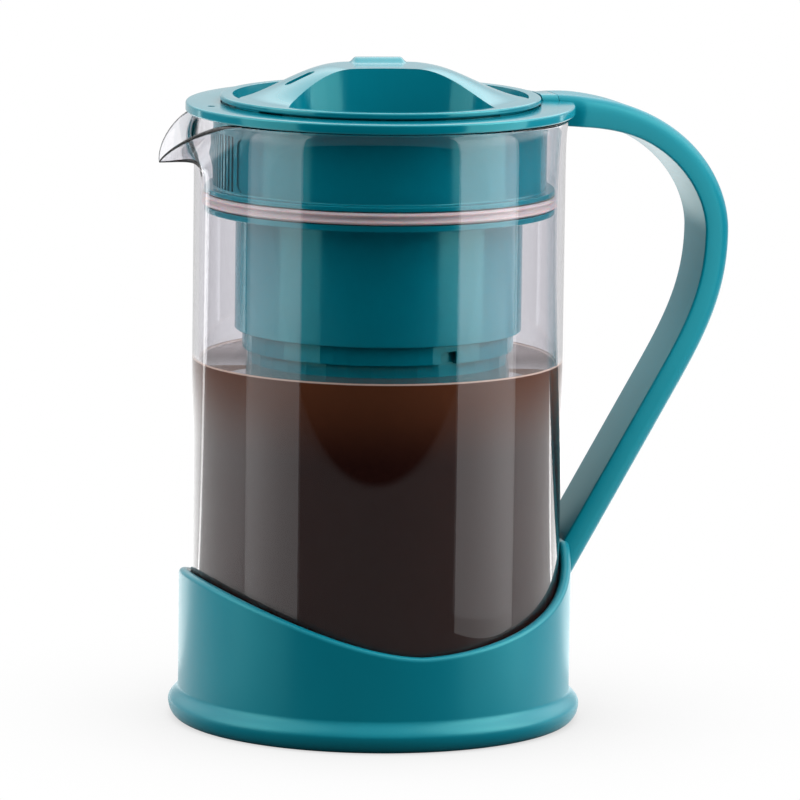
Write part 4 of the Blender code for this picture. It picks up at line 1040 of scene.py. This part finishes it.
# %% [markdown]
# The camera looks down by about ten degrees. A ray that is mirrored by an upright wall goes
# on down and meets the floor within a metre. So what the jug mirrors is mostly the floor:
# dark in front, grey at the sides, lit behind. Where on the floor a ray lands is told by
# three measures: its distance from the jug, how far it lies towards the camera, and the
# share of the one in the other, which is 1 straight in front and -1 straight behind.
#
# The grey part takes its light from the lamps. Its grey carries painted shade: it is painted
# darker towards the camera, and painted darker with the distance as the lamps' light would
# fall off, and it ends at the table's edge.

# %% Grey paper
# painted shade: the paper's grey darkens towards the camera and far from the jug
PAINTED_FRONT_SHADE_GREY, SHEET_GREY = 0.12, 0.70
PAINTED_FRONT_SHADE_SHARES = (0.0, 0.7)
FLOOR_FALL_OFF = (0.50, 0.75)
PAINTED_FAR_SHADE_SHARE = 0.15
TABLE_EDGE = (0.42, 0.44)
MULTIPLY, DOT = {"operation": "MULTIPLY"}, {"operation": "DOT_PRODUCT"}
paper, paper_shader = new_material("white paper", {"Roughness": 0.9, "Specular IOR Level": 0.0})
spot = add(paper, "ShaderNodeNewGeometry").outputs["Position"]
spot_bearing = add(paper, "ShaderNodeVectorMath", {0: spot}, {"operation": "NORMALIZE"}).outputs["Vector"]
front_share = add(paper, "ShaderNodeVectorMath", {0: spot_bearing}, DOT, {1: to_camera}).outputs["Value"]
depth = add(paper, "ShaderNodeVectorMath", {0: spot}, DOT, {1: to_camera}).outputs["Value"]
away = add(paper, "ShaderNodeVectorMath", {0: spot}, {"operation": "LENGTH"}).outputs["Value"]
# painted shade towards the camera, then painted fall-off of light with the distance
painted_front_shade = add(paper, "ShaderNodeMapRange", {"Value": front_share}, EASED, from_to(PAINTED_FRONT_SHADE_SHARES, (SHEET_GREY, PAINTED_FRONT_SHADE_GREY)))
painted_far_shade = add(paper, "ShaderNodeMapRange", {"Value": away}, EASED, from_to(FLOOR_FALL_OFF, (1.0, PAINTED_FAR_SHADE_SHARE)))
table = add(paper, "ShaderNodeMapRange", {"Value": depth}, EASED, from_to(TABLE_EDGE, (1.0, 0.0)))
near_grey = add(paper, "ShaderNodeMath", {0: painted_front_shade.outputs["Result"], 1: table.outputs["Result"]}, MULTIPLY)
grey = add(paper, "ShaderNodeMath", {0: near_grey.outputs["Value"], 1: painted_far_shade.outputs["Result"]}, MULTIPLY)
print("floor greys from", PAINTED_FRONT_SHADE_GREY, "to", SHEET_GREY)

# %% [markdown]
# The lit sweep behind the jug glows by itself. A narrow brighter streak on both sides of it
# draws the thin upright lines near the beaker's edges. It starts off the foot, or the
# bead would catch it.

# %% Lit sweep
SWEEP_LIGHT, FAR_SWEEP_SHARE = 1.0, 0.60
SWEEP_SHARES = (-0.75, -0.65)
STREAK_LIGHT = 2.5
STREAK_INNER_SHARES = (-0.715, -0.695)
STREAK_OUTER_SHARES = (-0.675, -0.655)
STREAK_START = (0.10, 0.16)
lit = add(paper, "ShaderNodeMapRange", {"Value": front_share}, EASED, from_to(SWEEP_SHARES, (SWEEP_LIGHT, 0.0)))
far_sweep = add(paper, "ShaderNodeMapRange", {"Value": away}, EASED, from_to(FLOOR_FALL_OFF, (1.0, FAR_SWEEP_SHARE)))
sweep = add(paper, "ShaderNodeMath", {0: lit.outputs["Result"], 1: far_sweep.outputs["Result"]}, MULTIPLY)
inner_side = add(paper, "ShaderNodeMapRange", {"Value": front_share}, EASED, from_to(STREAK_INNER_SHARES, (0.0, 1.0)))
outer_side = add(paper, "ShaderNodeMapRange", {"Value": front_share}, EASED,
                 from_to(STREAK_OUTER_SHARES, (STREAK_LIGHT, 0.0)))
off_foot = add(paper, "ShaderNodeMapRange", {"Value": away}, EASED, from_to(STREAK_START, (0.0, 1.0)))
streak_line = add(paper, "ShaderNodeMath", {0: outer_side.outputs["Result"], 1: inner_side.outputs["Result"]},
                  MULTIPLY)
streak = add(paper, "ShaderNodeMath", {0: streak_line.outputs["Value"], 1: off_foot.outputs["Result"]}, MULTIPLY)
behind = add(paper, "ShaderNodeMath", {0: sweep.outputs["Value"], 1: streak.outputs["Value"]}, {"operation": "ADD"})
print("sweep light:", SWEEP_LIGHT, "streak light:", STREAK_LIGHT)

# %% [markdown]
# The white that the camera sees is pure light too, darkened near the jug by ambient
# occlusion, which stands in for the contact shadow. One switch picks between the two
# stages, for the paper's own colour and for its glow.

# %% White paper
SHADOW_REACH = 0.10
SHADOW_DEPTH = 0.34
SHADOW_SAMPLES = 8
straight = straight_rays(paper)
contact = add(paper, "ShaderNodeAmbientOcclusion", settings={"samples": SHADOW_SAMPLES},
              values={"Distance": SHADOW_REACH})
white = add(paper, "ShaderNodeMapRange", {"Value": contact.outputs["AO"]}, EASED,
            from_to((0.0, 1.0), (1.0 - SHADOW_DEPTH, 1.0)))
glow = add(paper, "ShaderNodeMix", {"Factor": straight, "A": behind.outputs["Value"], "B": white.outputs["Result"]},
           {"data_type": "FLOAT"})
albedo = add(paper, "ShaderNodeMix", {"Factor": straight, "A": grey.outputs["Value"]}, {"data_type": "FLOAT"},
             {"B": 0.0})
paper.node_tree.links.new(albedo.outputs["Result"], paper_shader.inputs["Base Color"])
paper.node_tree.links.new(glow.outputs["Result"], paper_shader.inputs["Emission Strength"])
paper_shader.inputs["Emission Color"].default_value = linear("#ffffff")
wear(floor, paper)
print("contact shadow reaches", SHADOW_REACH * 1000, "mm")

# %% [markdown]
# The world is the tent over the table. It is dark in front where the camera stands,
# brighter overhead and on the right. The tent gives the tops of the lid and the handle
# their light. Shares are those of a ray's direction, towards the camera or to the right.

# %% Studio world
ROOM_SHARES, ROOM_LIGHT = (-0.3, 0.3), (0.8, 0.03)
ROOF_SHARES, ROOF_LIGHT = (-0.2, 0.8), (1.9, 0.65)
SIDE_SHARES, SIDE_LIGHT = (-1.0, 1.0), (0.8, 1.4)
TENT_OPENING = (0.15, 0.40)
world = bpy.data.worlds.new("studio")
bpy.context.scene.world = world
world.use_nodes = True
background = world.node_tree.nodes["Background"]
sky = add(world, "ShaderNodeTexCoord").outputs["Generated"]
front = add(world, "ShaderNodeVectorMath", {0: sky}, DOT, {1: to_camera}).outputs["Value"]
rightward = add(world, "ShaderNodeVectorMath", {0: sky}, DOT, {1: to_right}).outputs["Value"]
upward = add(world, "ShaderNodeSeparateXYZ", {"Vector": sky}).outputs["Z"]
room = add(world, "ShaderNodeMapRange", {"Value": front}, EASED, from_to(ROOM_SHARES, ROOM_LIGHT))
roof = add(world, "ShaderNodeMapRange", {"Value": front}, EASED, from_to(ROOF_SHARES, ROOF_LIGHT))
side = add(world, "ShaderNodeMapRange", {"Value": rightward}, EASED, from_to(SIDE_SHARES, SIDE_LIGHT))
above = add(world, "ShaderNodeMapRange", {"Value": upward}, EASED, from_to(TENT_OPENING, (0.0, 1.0)))
tent = add(world, "ShaderNodeMath", {0: roof.outputs["Result"], 1: side.outputs["Result"]}, MULTIPLY)
studio = add(world, "ShaderNodeMix", {"Factor": above.outputs["Result"], "A": room.outputs["Result"],
                                      "B": tent.outputs["Value"]}, {"data_type": "FLOAT"})
print("tent roof light:", ROOF_LIGHT)

# %% [markdown]
# The camera itself has to see white behind the jug. For the world the two counters don't
# single out the camera's own rays, so the light path's camera flag is added.

# %% White backdrop
world_paths = add(world, "ShaderNodeLightPath")
seen = add(world, "ShaderNodeMath", {0: straight_rays(world), 1: world_paths.outputs["Is Camera Ray"]},
           {"operation": "MAXIMUM"})
strength = add(world, "ShaderNodeMix", {"Factor": seen.outputs["Value"], "A": studio.outputs["Result"]},
               {"data_type": "FLOAT"}, {"B": 1.0})
world.node_tree.links.new(strength.outputs["Result"], background.inputs["Strength"])
background.inputs["Color"].default_value = linear("#ffffff")
print("world nodes:", len(world.node_tree.nodes))

# %% [markdown]
# Two tall softboxes close to the jug draw the two upright strips on its glass. Their
# bearings and widths follow from where the strips' edges are in the photograph. They are
# brighter in their upper part, which the glass mirrors in front of the plastics, than in
# the lower part in front of the coffee. Two large, weaker ones further out fill the
# sides, from high enough that no upright wall mirrors them.

# %% Softboxes
UPPER_PART = (0.075, 0.115)


def softbox(name, bearing, distance, height, width, tall, radiance, aim_height, upper):
    """A rectangular softbox. Bearing is degrees to the right of the camera, seen from the jug."""
    lamp = bpy.data.lights.new(name, "AREA")
    lamp.use_nodes = True
    on_box = add(lamp, "ShaderNodeNewGeometry").outputs["Position"]
    level = add(lamp, "ShaderNodeSeparateXYZ", {"Vector": on_box}).outputs["Z"]
    strength = add(lamp, "ShaderNodeMapRange", {"Value": level}, EASED, from_to(UPPER_PART, (1.0, upper)))
    lamp.node_tree.links.new(strength.outputs["Result"], lamp.node_tree.nodes["Emission"].inputs["Strength"])
    lamp.shape = "RECTANGLE"
    lamp.size = width
    lamp.size_y = tall
    lamp.energy = radiance * math.pi * width * tall
    source = bpy.data.objects.new(name, lamp)
    bpy.context.collection.objects.link(source)
    angle = azimuth + math.radians(bearing)
    source.location = Vector((math.sin(angle), -math.cos(angle), 0)) * distance + Vector((0, 0, height))
    source.visible_camera = False
    source.rotation_mode = "QUATERNION"
    source.rotation_quaternion = (Vector((0, 0, aim_height)) - source.location).to_track_quat("-Z", "Y")


softbox("left softbox", bearing=-59.5, distance=0.18, height=0.35, width=0.113, tall=0.70, radiance=0.85,
        aim_height=0.35, upper=1.7)
softbox("right softbox", bearing=63.7, distance=0.18, height=0.35, width=0.128, tall=0.70, radiance=1.1,
        aim_height=0.35, upper=2.0)
softbox("left fill", bearing=-85.0, distance=1.2, height=0.8, width=1.0, tall=1.0, radiance=1.5,
        aim_height=0.1, upper=1.0)
softbox("right fill", bearing=85.0, distance=1.2, height=0.8, width=1.0, tall=1.0, radiance=2.3,
        aim_height=0.1, upper=1.0)
bpy.context.scene.view_settings.view_transform = "Standard"
